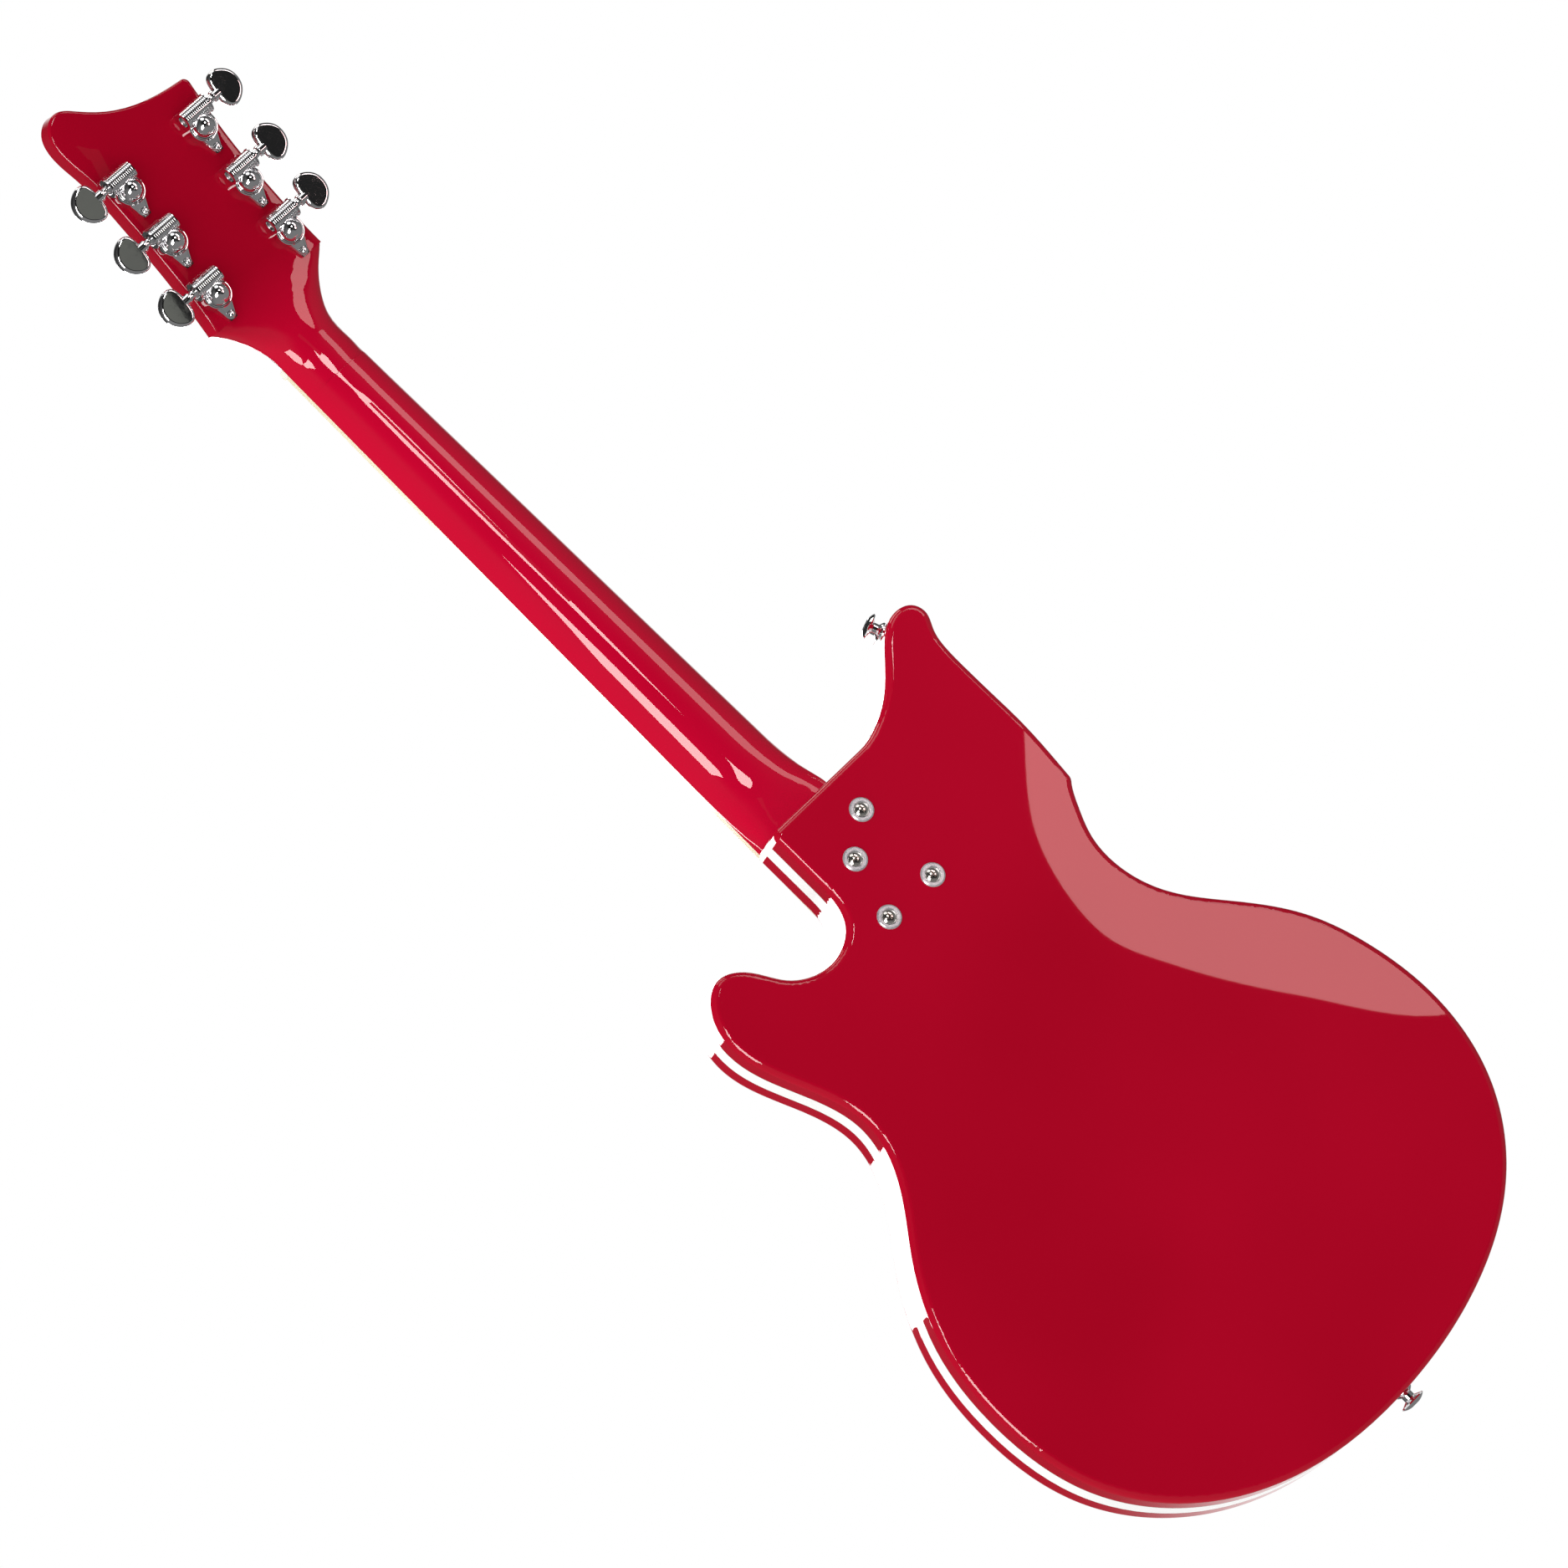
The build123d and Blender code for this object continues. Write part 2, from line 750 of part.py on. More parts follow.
with BuildPart(mode=Mode.PRIVATE) as one_housing:
    with BuildSketch(Plane.XZ):
        with BuildLine():
            wall = Polyline(
                (0, 0),
                (drum_radius, 0),
                (drum_radius, drum_height - 0.5),
                (drum_radius - 0.5, drum_height),
                (dome_radius, drum_height + 0.1),
            )
            cap = ThreePointArc(wall @ 1, (dome_radius * 0.72, dome_height - 2.1), (0, dome_height))
            Line(cap @ 1, wall @ 0)
        make_face()
    revolve(axis=Axis.Z)
    with BuildSketch(worm_line.offset(barrel_inner)):
        Circle(barrel_radius)
        Rectangle(2 * barrel_radius - 0.8, worm_height, align=(Align.CENTER, Align.MAX))
    extrude(amount=barrel_length)
    with BuildSketch():
        with BuildLine():
            tab = Polyline((-tab_tip_radius, -tab_reach), (-drum_radius * 0.85, 0), (drum_radius * 0.85, 0))
            Polyline(tab @ 1, (tab_tip_radius, -tab_reach), tab @ 0)
        make_face()
    extrude(amount=tab_thickness)
    with BuildSketch(Plane.XY.offset(wheel_floor - worm_gap)):
        Circle(wheel_radius + worm_gap)
    extrude(amount=wheel_thickness + 2 * worm_gap, mode=Mode.SUBTRACT)
    with BuildSketch():
        Circle(post_radius + post_gap)
        with Locations((0, -tab_reach + tab_tip_radius)):
            Circle(tuner_screw_radius)
    extrude(amount=wheel_floor, mode=Mode.SUBTRACT)
    with BuildSketch(worm_line.offset(barrel_inner)):
        Circle(worm_radius + worm_gap)
    extrude(amount=barrel_length - 2.4, mode=Mode.SUBTRACT)
    with BuildSketch(worm_line):
        Circle(worm_shaft_radius + post_gap)
    extrude(amount=barrel_length, mode=Mode.SUBTRACT)

with BuildPart(mode=Mode.PRIVATE) as one_worm:
    with BuildSketch(worm_line.offset(barrel_inner + 1)):
        Circle(worm_radius - 0.7)
    extrude(amount=barrel_length - 3.8)
    for turn in range(6):
        with BuildSketch(worm_line.offset(barrel_inner + 1.6 + 2.1 * turn)):
            Circle(worm_radius)
        extrude(amount=1.1)
    with BuildSketch(worm_line):
        Circle(worm_shaft_radius)
    extrude(amount=button_reach + 8)
    with BuildSketch(worm_line.offset(barrel_outer + 0.15)):
        Circle(worm_shaft_radius + 0.7)
    extrude(amount=1.6)

with BuildPart(mode=Mode.PRIVATE) as one_button:
    with BuildSketch(Plane.XY.offset(worm_height - button_thickness / 2)):
        with BuildLine():
            waist = curve(
                (button_reach, worm_offset),
                (button_reach + 0.4, worm_offset + button_length * 0.26),
                (button_reach + 2.2, worm_offset + button_length * 0.43),
                (button_reach + 6.2, worm_offset + button_length / 2),
                (button_reach + button_width * 0.66, worm_offset + button_length * 0.43),
                (button_reach + button_width * 0.92, worm_offset + button_length * 0.24),
                (button_reach + button_width, worm_offset),
                leaving=(0, 1),
                arriving=(0, -1),
            )
            mirror(about=Plane.XZ.offset(-worm_offset))
        make_face()
    extrude(amount=button_thickness)
    fillet(one_button.faces().filter_by(Axis.Z).edges(), button_edge_round)
    with BuildSketch(worm_line.offset(button_reach - 1.8)):
        Circle(worm_shaft_radius + 1.1)
    extrude(amount=4)
    with BuildSketch(worm_line.offset(button_reach - 1.8)):
        Circle(worm_shaft_radius)
    extrude(amount=9.8, mode=Mode.SUBTRACT)

with BuildPart(mode=Mode.PRIVATE) as one_post:
    with BuildSketch(Plane.XY.offset(wheel_floor)):
        Circle(wheel_radius)
    extrude(amount=wheel_thickness)
    with BuildSketch(Plane.XZ):
        with BuildLine():
            top_z = -head_thickness - post_reach
            Polyline(
                (0, wheel_floor),
                (post_radius, wheel_floor),
                (post_radius, top_z + 11.5),
                (post_radius - 0.6, top_z + 10),
                (post_radius - 0.6, top_z + 6),
                (post_radius, top_z + 5),
                (post_radius, top_z + 0.6),
                (post_radius - 0.6, top_z),
                (0, top_z),
                close=True,
            )
        make_face()
    revolve(axis=Axis.Z)
    with BuildSketch(Plane.XZ.offset(-post_radius - 1)):
        with Locations((0, top_z + 8)):
            Circle(0.9)
    extrude(amount=2 * post_radius + 2, mode=Mode.SUBTRACT)

with BuildPart(mode=Mode.PRIVATE) as one_bushing:
    with BuildSketch(Plane.XY.offset(-head_thickness)):
        Circle(bushing_radius)
        Circle(post_radius + post_gap, mode=Mode.SUBTRACT)
    extrude(amount=head_thickness)
    with BuildSketch(Plane.XY.offset(-head_thickness - bushing_flange)):
        Circle(bushing_flange_radius)
        Circle(post_radius + post_gap, mode=Mode.SUBTRACT)
    extrude(amount=bushing_flange)

with BuildPart(mode=Mode.PRIVATE) as one_tuner_screw:
    with Locations((0, -tab_reach + tab_tip_radius, tab_thickness)):
        Cylinder(tuner_screw_radius, 8, align=top_aligned)
        Cylinder(2 * tuner_screw_radius, 1.3, align=foot_aligned)


def tuner_seat(x, height):
    """Location of a tuner on the headstock's back; the treble side is turned over to its own side."""
    return head_back.location * Location((-x, height, 0))


def place_tuner(shape, x, height):
    """A copy of a tuner piece on its seat, mirrored for the treble side so its button points out."""
    if x > 0:
        shape = mirror(shape, about=Plane.YZ, mode=Mode.PRIVATE)
    return tuner_seat(x, height) * shape


# Strings count from the thinnest: 1 to 3 up the treble side, 4 to 6 down the bass side.
string_posts = [(post_inset, h) for h in treble_posts] + [(-post_inset, h) for h in reversed(bass_posts)]

for name, shape in (
    ("tuner_housings", one_housing.part),
    ("tuner_bushings", one_bushing.part),
    ("tuner_screws", one_tuner_screw.part),
):
    with BuildPart() as tuner_group:
        add([place_tuner(shape, x, height) for x, height in string_posts])
    tuner_group.part.label = name
    export_step(tuner_group.part, f"parts/{name}.step")

for number, (x, height) in enumerate(string_posts, start=1):
    for name, shape in (
        (f"tuner_button_{number}", one_button.part),
        (f"tuner_worm_{number}", one_worm.part),
        (f"string_post_{number}", one_post.part),
    ):
        with BuildPart() as tuner_piece:
            add(place_tuner(shape, x, height))
        tuner_piece.part.label = name
        export_step(tuner_piece.part, f"parts/{name}.step")

# ---------------------------------------------------------------- pickguard and pickups
pickup_places = [(0, -distance) for distance in pickup_distances]
pickup_face = guard_face - pickup_lift
ear_top = front_face + 1
pickup_ear_centre = (pickup_ear_reach + pickup_length) / 4
ear_screw_places = [
    (side * pickup_ear_centre, z) for x, z in pickup_places for side in (-1, 1)
]
with BuildPart() as pickguard:
    with BuildSketch(layer(front_face)):
        add(guard_outline.sketch)
    extrude(amount=guard_thickness)
    chamfer(pickguard.faces().sort_by(Axis.Y)[0].edges(), 0.8)
    with BuildSketch(layer(front_face)):
        with Locations(*pickup_places):
            Rectangle(pickup_length + 2 * pickup_gap, pickup_width + 2 * pickup_gap)
        with Locations(*ear_screw_places, *guard_screw_places):
            Circle(guard_screw_radius)
        with Locations(*knob_places):
            Circle(pot_bushing_radius)
        with Locations(switch_place):
            Circle(switch_bushing_radius)
        with Locations(jack_place):
            Circle(jack_radius)
    extrude(amount=guard_thickness, mode=Mode.SUBTRACT)
pickguard.part.label = "pickguard"
export_step(pickguard.part, "parts/pickguard.step")


def screws_at(places, length):
    """Dome-headed screws standing on the pickguard, with a cross recess."""
    with BuildPart() as screws:
        with BuildSketch(layer(guard_face)):
            with Locations(*places):
                Circle(guard_screw_radius)
        extrude(amount=-length)
        with BuildSketch(layer(guard_face)):
            with Locations(*places):
                Circle(2 * guard_screw_radius)
        extrude(amount=1.2, taper=25)
        with BuildSketch(layer(guard_face - 0.5)):
            with Locations(*places):
                Rectangle(2.6, 0.6)
                Rectangle(0.6, 2.6)
        extrude(amount=1, mode=Mode.SUBTRACT)
    return screws.part


with BuildPart() as pickguard_screws:
    add(screws_at(guard_screw_places, guard_screw_length))
pickguard_screws.part.label = "pickguard_screws"
export_step(pickguard_screws.part, "parts/pickguard_screws.step")

with BuildPart() as pickup_screws:
    add(screws_at(ear_screw_places, ear_top + 3 - guard_face))
pickup_screws.part.label = "pickup_screws"
export_step(pickup_screws.part, "parts/pickup_screws.step")

pole_rows = [z - pickup_width / 4 for x, z in pickup_places]
pole_places = [(string_x(index, bridge_spread), z) for z in pole_rows for index in range(6)]
for name, place in zip(("neck_pickup", "bridge_pickup"), pickup_places):
    with BuildPart() as pickup:
        with BuildSketch(layer(pickup_face + pickup_depth)):
            with Locations(place):
                Rectangle(pickup_length, pickup_width)
        extrude(amount=pickup_depth)
        fillet(pickup.edges().filter_by(Axis.Y), 3)
        fillet(pickup.faces().sort_by(Axis.Y)[0].edges(), 1.5)
        with BuildSketch(layer(ear_top + 2)):
            with Locations(place):
                Rectangle(pickup_ear_reach, 12)
        extrude(amount=2)
        with BuildSketch(layer(ear_top + 2)):
            with Locations(*ear_screw_places):
                Circle(guard_screw_radius)
            with Locations(*pole_places):
                Circle(pole_radius)
        extrude(amount=pickup_depth, mode=Mode.SUBTRACT)
    pickup.part.label = name
    export_step(pickup.part, f"parts/{name}.step")

with BuildPart() as pole_pieces:
    with BuildSketch(layer(ear_top + 2)):
        with Locations(*pole_places):
            Circle(pole_radius)
    extrude(amount=ear_top + 2 - pickup_face + 0.8)
    with BuildSketch(layer(pickup_face)):
        with Locations(*pole_places):
            Rectangle(2 * pole_radius, 0.8)
    extrude(amount=2, mode=Mode.SUBTRACT)
pole_pieces.part.label = "pole_pieces"
export_step(pole_pieces.part, "parts/pole_pieces.step")

# ---------------------------------------------------------------- bridge and tailpiece
bridge_top = saddle_rest + saddle_rise
bridge_foot = bridge_top + bridge_height
channel_depth = 3.0
bridge_post_places = [(side * bridge_post_spread / 2, -bridge_distance) for side in (-1, 1)]

with BuildPart() as bridge:
    with BuildSketch(layer(bridge_foot)):
        with Locations((0, -bridge_distance)):
            SlotOverall(bridge_length, bridge_width)
    extrude(amount=bridge_height)
    chamfer(bridge.faces().sort_by(Axis.Y)[0].edges(), 0.8)
    with BuildSketch(layer(bridge_top + channel_depth)):
        with Locations((0, -bridge_distance)):
            Rectangle(bridge_spread + saddle_width + 1, saddle_width + 1.4)
    extrude(amount=channel_depth, mode=Mode.SUBTRACT)
    with BuildSketch(layer(bridge_foot)):
        with Locations(*bridge_post_places):
            Circle(bridge_post_radius)
    extrude(amount=bridge_height, mode=Mode.SUBTRACT)
bridge.part.label = "bridge"
export_step(bridge.part, "parts/bridge.step")

with BuildPart() as bridge_saddles:
    for index in range(strings_total):
        x, centre = string_centre(index, bridge_spread, saddle_rest)
        rest = centre + string_radii[index] + 0.03
        with BuildSketch(Plane.YZ.offset(x - saddle_width / 2)):
            with Locations((0, -bridge_distance)):
                Polygon(
                    (bridge_top + channel_depth, -saddle_width / 2),
                    (bridge_top + channel_depth, saddle_width / 2),
                    (bridge_top, saddle_width / 2),
                    (rest, 0.6),
                    (rest, 0),
                    (bridge_top, -saddle_width / 2),
                    align=None,
                )
        extrude(amount=saddle_width)
bridge_saddles.part.label = "bridge_saddles"
export_step(bridge_saddles.part, "parts/bridge_saddles.step")

with BuildPart() as bridge_posts:
    with BuildSketch(layer(front_face + bridge_post_depth)):
        with Locations(*bridge_post_places):
            Circle(bridge_post_radius)
    extrude(amount=front_face + bridge_post_depth - bridge_top + 0.4)
    with BuildSketch(layer(bridge_foot + 2.5)):
        with Locations(*bridge_post_places):
            Circle(thumbwheel_radius)
    extrude(amount=2.5)
bridge_posts.part.label = "bridge_posts"
export_step(bridge_posts.part, "parts/bridge_posts.step")

tail_foot = front_face - tail_lift
tail_top = tail_foot - tail_height
tail_stud_places = [(side * tail_stud_spread / 2, -tail_distance) for side in (-1, 1)]
string_hole_y = tail_top + string_hole_height
tail_front = -tail_distance + tail_width / 2
tail_rear = -tail_distance - tail_width / 2
ball_length = 5.0

with BuildPart() as tailpiece:
    with BuildSketch(layer(tail_foot)):
        with Locations((0, -tail_distance)):
            SlotOverall(tail_length, tail_width)
    extrude(amount=tail_height)
    fillet(tailpiece.faces().sort_by(Axis.Y)[0].edges(), 3)
    with BuildSketch(layer(tail_foot)):
        with Locations(*tail_stud_places):
            Circle(tail_stem_radius)
    extrude(amount=tail_height, mode=Mode.SUBTRACT)
    for index, radius in enumerate(string_radii):
        with BuildSketch(Plane.XY.offset(tail_rear)):
            with Locations((string_x(index, bridge_spread), string_hole_y)):
                Circle(2.1)
        extrude(amount=ball_length, mode=Mode.SUBTRACT)
        with BuildSketch(Plane.XY.offset(tail_rear)):
            with Locations((string_x(index, bridge_spread), string_hole_y)):
                Circle(radius + 0.3)
        extrude(amount=tail_width, mode=Mode.SUBTRACT)
tailpiece.part.label = "tailpiece"
export_step(tailpiece.part, "parts/tailpiece.step")

with BuildPart() as tailpiece_studs:
    with BuildSketch(layer(front_face + tail_stud_depth)):
        with Locations(*tail_stud_places):
            Circle(tail_stud_radius)
    extrude(amount=tail_stud_depth)
    with BuildSketch(layer(front_face)):
        with Locations(*tail_stud_places):
            Circle(tail_stud_radius + 2)
    extrude(amount=tail_lift)
    with BuildSketch(layer(tail_foot)):
        with Locations(*tail_stud_places):
            Circle(tail_stem_radius)
    extrude(amount=tail_height)
    with BuildSketch(layer(tail_top)):
        with Locations(*tail_stud_places):
            Circle(tail_head_radius)
    extrude(amount=2.4)
    chamfer(tailpiece_studs.faces().sort_by(Axis.Y)[0:2].edges(), 0.6)
    with BuildSketch(layer(tail_top - 1.4)):
        with Locations(*tail_stud_places):
            Rectangle(3 * tail_head_radius, 1.4)
    extrude(amount=2, mode=Mode.SUBTRACT)
tailpiece_studs.part.label = "tailpiece_studs"
export_step(tailpiece_studs.part, "parts/tailpiece_studs.step")

# ---------------------------------------------------------------- strings
# Each runs from its ball end through the tailpiece, over its saddle and the nut, to a coil
# that stands just clear of its post.
coil_radius = post_radius - 0.6 + post_gap
coil_height = post_reach - 8

with BuildPart() as strings:
    for index, radius in enumerate(string_radii):
        x_hole = string_x(index, bridge_spread)
        x_nut, y_nut = string_centre(index, nut_spread, nut_rest)
        x_saddle, y_saddle = string_centre(index, bridge_spread, saddle_rest)
        post_x, post_u = string_posts[index]
        inward = -1 if post_x > 0 else 1
        middle = coil_radius + 1.1 * radius
        leave = head_front.from_local_coords((post_x + inward * middle, post_u, coil_height))
        coil_plane = Plane(
            origin=head_front.from_local_coords((post_x, post_u, coil_height)),
            x_dir=(1, 0, 0),
            z_dir=head_front.z_dir,
        )
        with BuildSketch(Plane.XY.offset(tail_rear + 0.4)):
            with Locations((x_hole, string_hole_y)):
                Circle(2.0)
        extrude(amount=ball_length - 0.6)
        stops = [
            Vector(x_hole, string_hole_y, tail_rear + ball_length - 1),
            Vector(x_hole, string_hole_y, tail_front),
            Vector(x_saddle, y_saddle, -bridge_distance),
            Vector(x_nut, y_nut, 0),
            Vector(x_nut, y_nut, nut_length),
            leave,
        ]
        for start, end in zip(stops, stops[1:]):
            with BuildSketch(Plane(origin=start, z_dir=end - start)):
                Circle(radius)
            extrude(amount=(end - start).length)
        coil_turns = 3 if radius > 0.3 else 5
        with BuildSketch(coil_plane.offset(-radius * coil_turns)):
            Circle(coil_radius + 2.2 * radius)
            Circle(coil_radius, mode=Mode.SUBTRACT)
        extrude(amount=2 * radius * coil_turns)
strings.part.label = "strings"
export_step(strings.part, "parts/strings.step")

# ---------------------------------------------------------------- strap buttons
with BuildPart(mode=Mode.PRIVATE) as one_strap_button:
    with BuildSketch(Plane.XZ):
        with BuildLine():
            foot = Polyline(
                (strap_screw_radius, 0),
                (strap_base_radius, 0),
                (strap_base_radius, 0.8),
                (strap_base_radius - 0.9, 1.7),
            )
            waist = Polyline(
                foot @ 1, (strap_button_waist, 2.8), (strap_button_waist, 2.8 + strap_waist_length)
            )
            lip = Polyline(
                waist @ 1,
                (strap_button_radius - 0.6, strap_button_height - 3),
                (strap_button_radius, strap_button_height - 2.2),
            )
            cap = ThreePointArc(lip @ 1, (6.2, strap_button_height - 0.7), (4.4, strap_button_height))
            Polyline(
                cap @ 1,
                (3.9, strap_button_height - 0.2),
                (strap_screw_radius, strap_button_height - 2.4),
                foot @ 0,
            )
        make_face()
    revolve(axis=Axis.Z)

with BuildPart(mode=Mode.PRIVATE) as one_strap_screw:
    Cylinder(strap_screw_radius, strap_screw_length, align=top_aligned)
    Cylinder(strap_screw_radius, strap_button_height - 1, align=foot_aligned)
    with Locations((0, 0, strap_button_height - 2.4)):
        Cone(strap_screw_radius, 3.9, 2.2, align=foot_aligned)
    with BuildSketch(Plane.XY.offset(strap_button_height - 1.4)):
        Rectangle(4.4, 0.9)
        Rectangle(0.9, 4.4)
    extrude(amount=2, mode=Mode.SUBTRACT)

with BuildPart() as strap_buttons:
    add([seat.location * one_strap_button.part for seat in rim_seats])
strap_buttons.part.label = "strap_buttons"
export_step(strap_buttons.part, "parts/strap_buttons.step")

with BuildPart() as strap_screws:
    add([seat.location * one_strap_screw.part for seat in rim_seats])
strap_screws.part.label = "strap_screws"
export_step(strap_screws.part, "parts/strap_screws.step")

# ---------------------------------------------------------------- volume and tone controls
knob_foot = guard_face - knob_lift
knob_top = knob_foot - knob_height
shaft_foot = front_face + 1
shaft_top = knob_foot - 10
bushing_top = guard_face - 2.2

with BuildPart() as pot_casings:
    with BuildSketch(layer(front_face + pot_depth)):
        with Locations(*knob_places):
            Circle(pot_radius)
    extrude(amount=pot_depth)
    with BuildSketch(layer(front_face)):
        with Locations(*knob_places):
            Circle(pot_bushing_radius)
    extrude(amount=front_face - bushing_top)
    with BuildSketch(layer(shaft_foot)):
        with Locations(*knob_places):
            Circle(pot_shaft_radius + post_gap)
    extrude(amount=shaft_foot - bushing_top, mode=Mode.SUBTRACT)
pot_casings.part.label = "pot_casings"
export_step(pot_casings.part, "parts/pot_casings.step")

with BuildPart() as pot_nuts:
    with BuildSketch(layer(guard_face)):
        with Locations(*knob_places):
            RegularPolygon(6.4, 6)
            Circle(pot_bushing_radius, mode=Mode.SUBTRACT)
        with Locations(jack_place):
            RegularPolygon(8.2, 6)
            Circle(jack_radius, mode=Mode.SUBTRACT)
    extrude(amount=1.9)
pot_nuts.part.label = "pot_nuts"
export_step(pot_nuts.part, "parts/pot_nuts.step")

for name, place in zip(("volume", "tone"), knob_places):
    with BuildPart() as shaft:
        with BuildSketch(layer(shaft_foot - 0.1)):
            with Locations(place):
                Circle(pot_shaft_radius)
        extrude(amount=shaft_foot - 0.1 - shaft_top)
    shaft.part.label = f"{name}_shaft"
    export_step(shaft.part, f"parts/{name}_shaft.step")

    with BuildPart() as knob:
        with BuildSketch(layer(knob_foot)):
            with Locations(place):
                Circle(knob_radius)
        extrude(amount=knob_height, taper=4)
        fillet(knob.faces().sort_by(Axis.Y)[0].edges(), 1.2)
        with BuildSketch(layer(knob_foot)):
            with Locations(place):
                Circle(pot_shaft_radius)
        extrude(amount=knob_foot - shaft_top, mode=Mode.SUBTRACT)
    knob.part.label = f"{name}_knob"
    export_step(knob.part, f"parts/{name}_knob.step")

# ---------------------------------------------------------------- pickup switch and output jack
switch_pivot = front_face - 1
switch_mouth = guard_face - 4
lever_tip = switch_mouth - 17

with BuildPart() as switch_body:
    with BuildSketch(layer(front_face + 15)):
        with Locations(switch_place):
            Rectangle(13, 30, rotation=-20)
    extrude(amount=15)
    with BuildSketch(layer(front_face)):
        with Locations(switch_place):
            Circle(switch_bushing_radius)
    extrude(amount=front_face - switch_mouth)
    with BuildSketch(layer(guard_face)):
        with Locations(switch_place):
            Circle(switch_bushing_radius + 2.6)
    extrude(amount=2)
    with BuildSketch(layer(switch_pivot + switch_bore_radius)):
        with Locations(switch_place):
            Circle(switch_bore_radius)
    extrude(amount=switch_pivot + switch_bore_radius - switch_mouth, mode=Mode.SUBTRACT)
switch_body.part.label = "switch_body"
export_step(switch_body.part, "parts/switch_body.step")

with BuildPart() as switch_lever:
    with Locations((switch_place[0], switch_pivot, switch_place[1])):
        Sphere(switch_bore_radius - 0.25)
        Cylinder(switch_pin_radius, 3 * switch_bore_radius, rotation=(0, 90, 0), mode=Mode.SUBTRACT)
    with BuildSketch(layer(switch_pivot)):
        with Locations(switch_place):
            Circle(switch_lever_radius)
    extrude(amount=switch_pivot - lever_tip)
    with Locations((switch_place[0], lever_tip, switch_place[1])):
        Sphere(3.4)
switch_lever.part.label = "switch_lever"
export_step(switch_lever.part, "parts/switch_lever.step")

with BuildPart() as output_jack:
    with BuildSketch(layer(guard_face + jack_depth)):
        with Locations(jack_place):
            Circle(jack_radius)
    extrude(amount=jack_depth + 3)
    with BuildSketch(layer(front_face + 3)):
        with Locations(jack_place):
            Circle(jack_radius + 3.4)
    extrude(amount=3)
    with BuildSketch(layer(guard_face + jack_depth - 1.5)):
        with Locations(jack_place):
            Circle(jack_bore_radius)
    extrude(amount=jack_depth + 3, mode=Mode.SUBTRACT)
output_jack.part.label = "output_jack"
export_step(output_jack.part, "parts/output_jack.step")
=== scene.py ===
import json
import math

import bmesh
import bpy
import numpy
from mathutils import Matrix, Vector
from mathutils.kdtree import KDTree


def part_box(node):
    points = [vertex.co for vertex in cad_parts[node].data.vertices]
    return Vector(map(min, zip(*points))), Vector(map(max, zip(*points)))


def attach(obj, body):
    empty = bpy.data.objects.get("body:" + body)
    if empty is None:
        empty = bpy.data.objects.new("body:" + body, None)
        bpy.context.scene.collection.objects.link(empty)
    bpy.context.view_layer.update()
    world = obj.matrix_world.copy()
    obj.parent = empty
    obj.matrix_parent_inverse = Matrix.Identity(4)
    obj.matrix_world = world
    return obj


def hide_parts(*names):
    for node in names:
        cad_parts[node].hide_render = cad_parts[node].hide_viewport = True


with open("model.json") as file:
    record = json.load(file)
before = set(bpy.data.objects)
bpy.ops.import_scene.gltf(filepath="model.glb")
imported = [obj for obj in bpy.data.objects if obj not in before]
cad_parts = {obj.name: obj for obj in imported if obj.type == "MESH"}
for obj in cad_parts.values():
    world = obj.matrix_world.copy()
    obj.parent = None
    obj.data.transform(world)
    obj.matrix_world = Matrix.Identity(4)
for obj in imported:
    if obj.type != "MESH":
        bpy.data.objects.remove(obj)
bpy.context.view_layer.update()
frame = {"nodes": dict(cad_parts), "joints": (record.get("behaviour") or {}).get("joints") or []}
nodes = frame["nodes"]


# ---------------------------------------------------------------- the studio
# The guitar hangs upright from its headstock and is seen from behind, from low down on the
# treble side. The camera is rolled by half a right angle, so the guitar lies across the frame.

eye = Vector((1.4533, 3.7263, -0.660))
aim = Vector((-0.0086, 0.015, -0.3613))
roll = math.radians(-45.347)

forward = (aim - eye).normalized()
level = forward.cross(Vector((0, 0, 1))).normalized()
skyward = level.cross(forward)
right = math.cos(roll) * level + math.sin(roll) * skyward
above = -math.sin(roll) * level + math.cos(roll) * skyward

camera_data = bpy.data.cameras.new("camera")
camera_data.sensor_width = 36
camera_data.lens = 164.35
camera_data.clip_end = 50
camera = bpy.data.objects.new("camera", camera_data)
turned = Matrix((right, above, -forward)).transposed()
camera.matrix_world = Matrix.Translation(eye) @ turned.to_4x4()
bpy.context.scene.collection.objects.link(camera)
bpy.context.scene.camera = camera
bpy.context.scene.view_settings.view_transform = "Standard"

# The room is white all round for the lens. Polish sees white only where the lens is aimed, and a
# dim studio everywhere else, a little paler low down. The rest is an even, plain light that is
# stronger on the treble side and falls away on the bass side.

room = bpy.data.worlds.new("room")
bpy.context.scene.world = room
room.use_nodes = True
room_tree = room.node_tree
room_tree.nodes.clear()
join = room_tree.links.new


def room_node(kind, **settings):
    node = room_tree.nodes.new(kind)
    for name, value in settings.items():
        setattr(node, name, value)
    return node


def room_blend(share, first, second):
    """A strength that goes from the first to the second as the share goes from 0 to 1."""
    node = room_node("ShaderNodeMix", data_type="FLOAT")
    for slot, value in ((0, share), (2, first), (3, second)):
        if isinstance(value, bpy.types.NodeSocket):
            join(value, node.inputs[slot])
        else:
            node.inputs[slot].default_value = value
    return node.outputs[0]


def toward(direction, start, end):
    """How far a ray heads in a direction: 0 up to the start and 1 from the end."""
    facing = room_node("ShaderNodeVectorMath", operation="DOT_PRODUCT")
    facing.inputs[1].default_value = direction
    join(way.outputs["Generated"], facing.inputs[0])
    share = room_node("ShaderNodeMapRange", interpolation_type="SMOOTHSTEP")
    share.inputs["From Min"].default_value = start
    share.inputs["From Max"].default_value = end
    join(facing.outputs["Value"], share.inputs["Value"])
    return share.outputs["Result"]


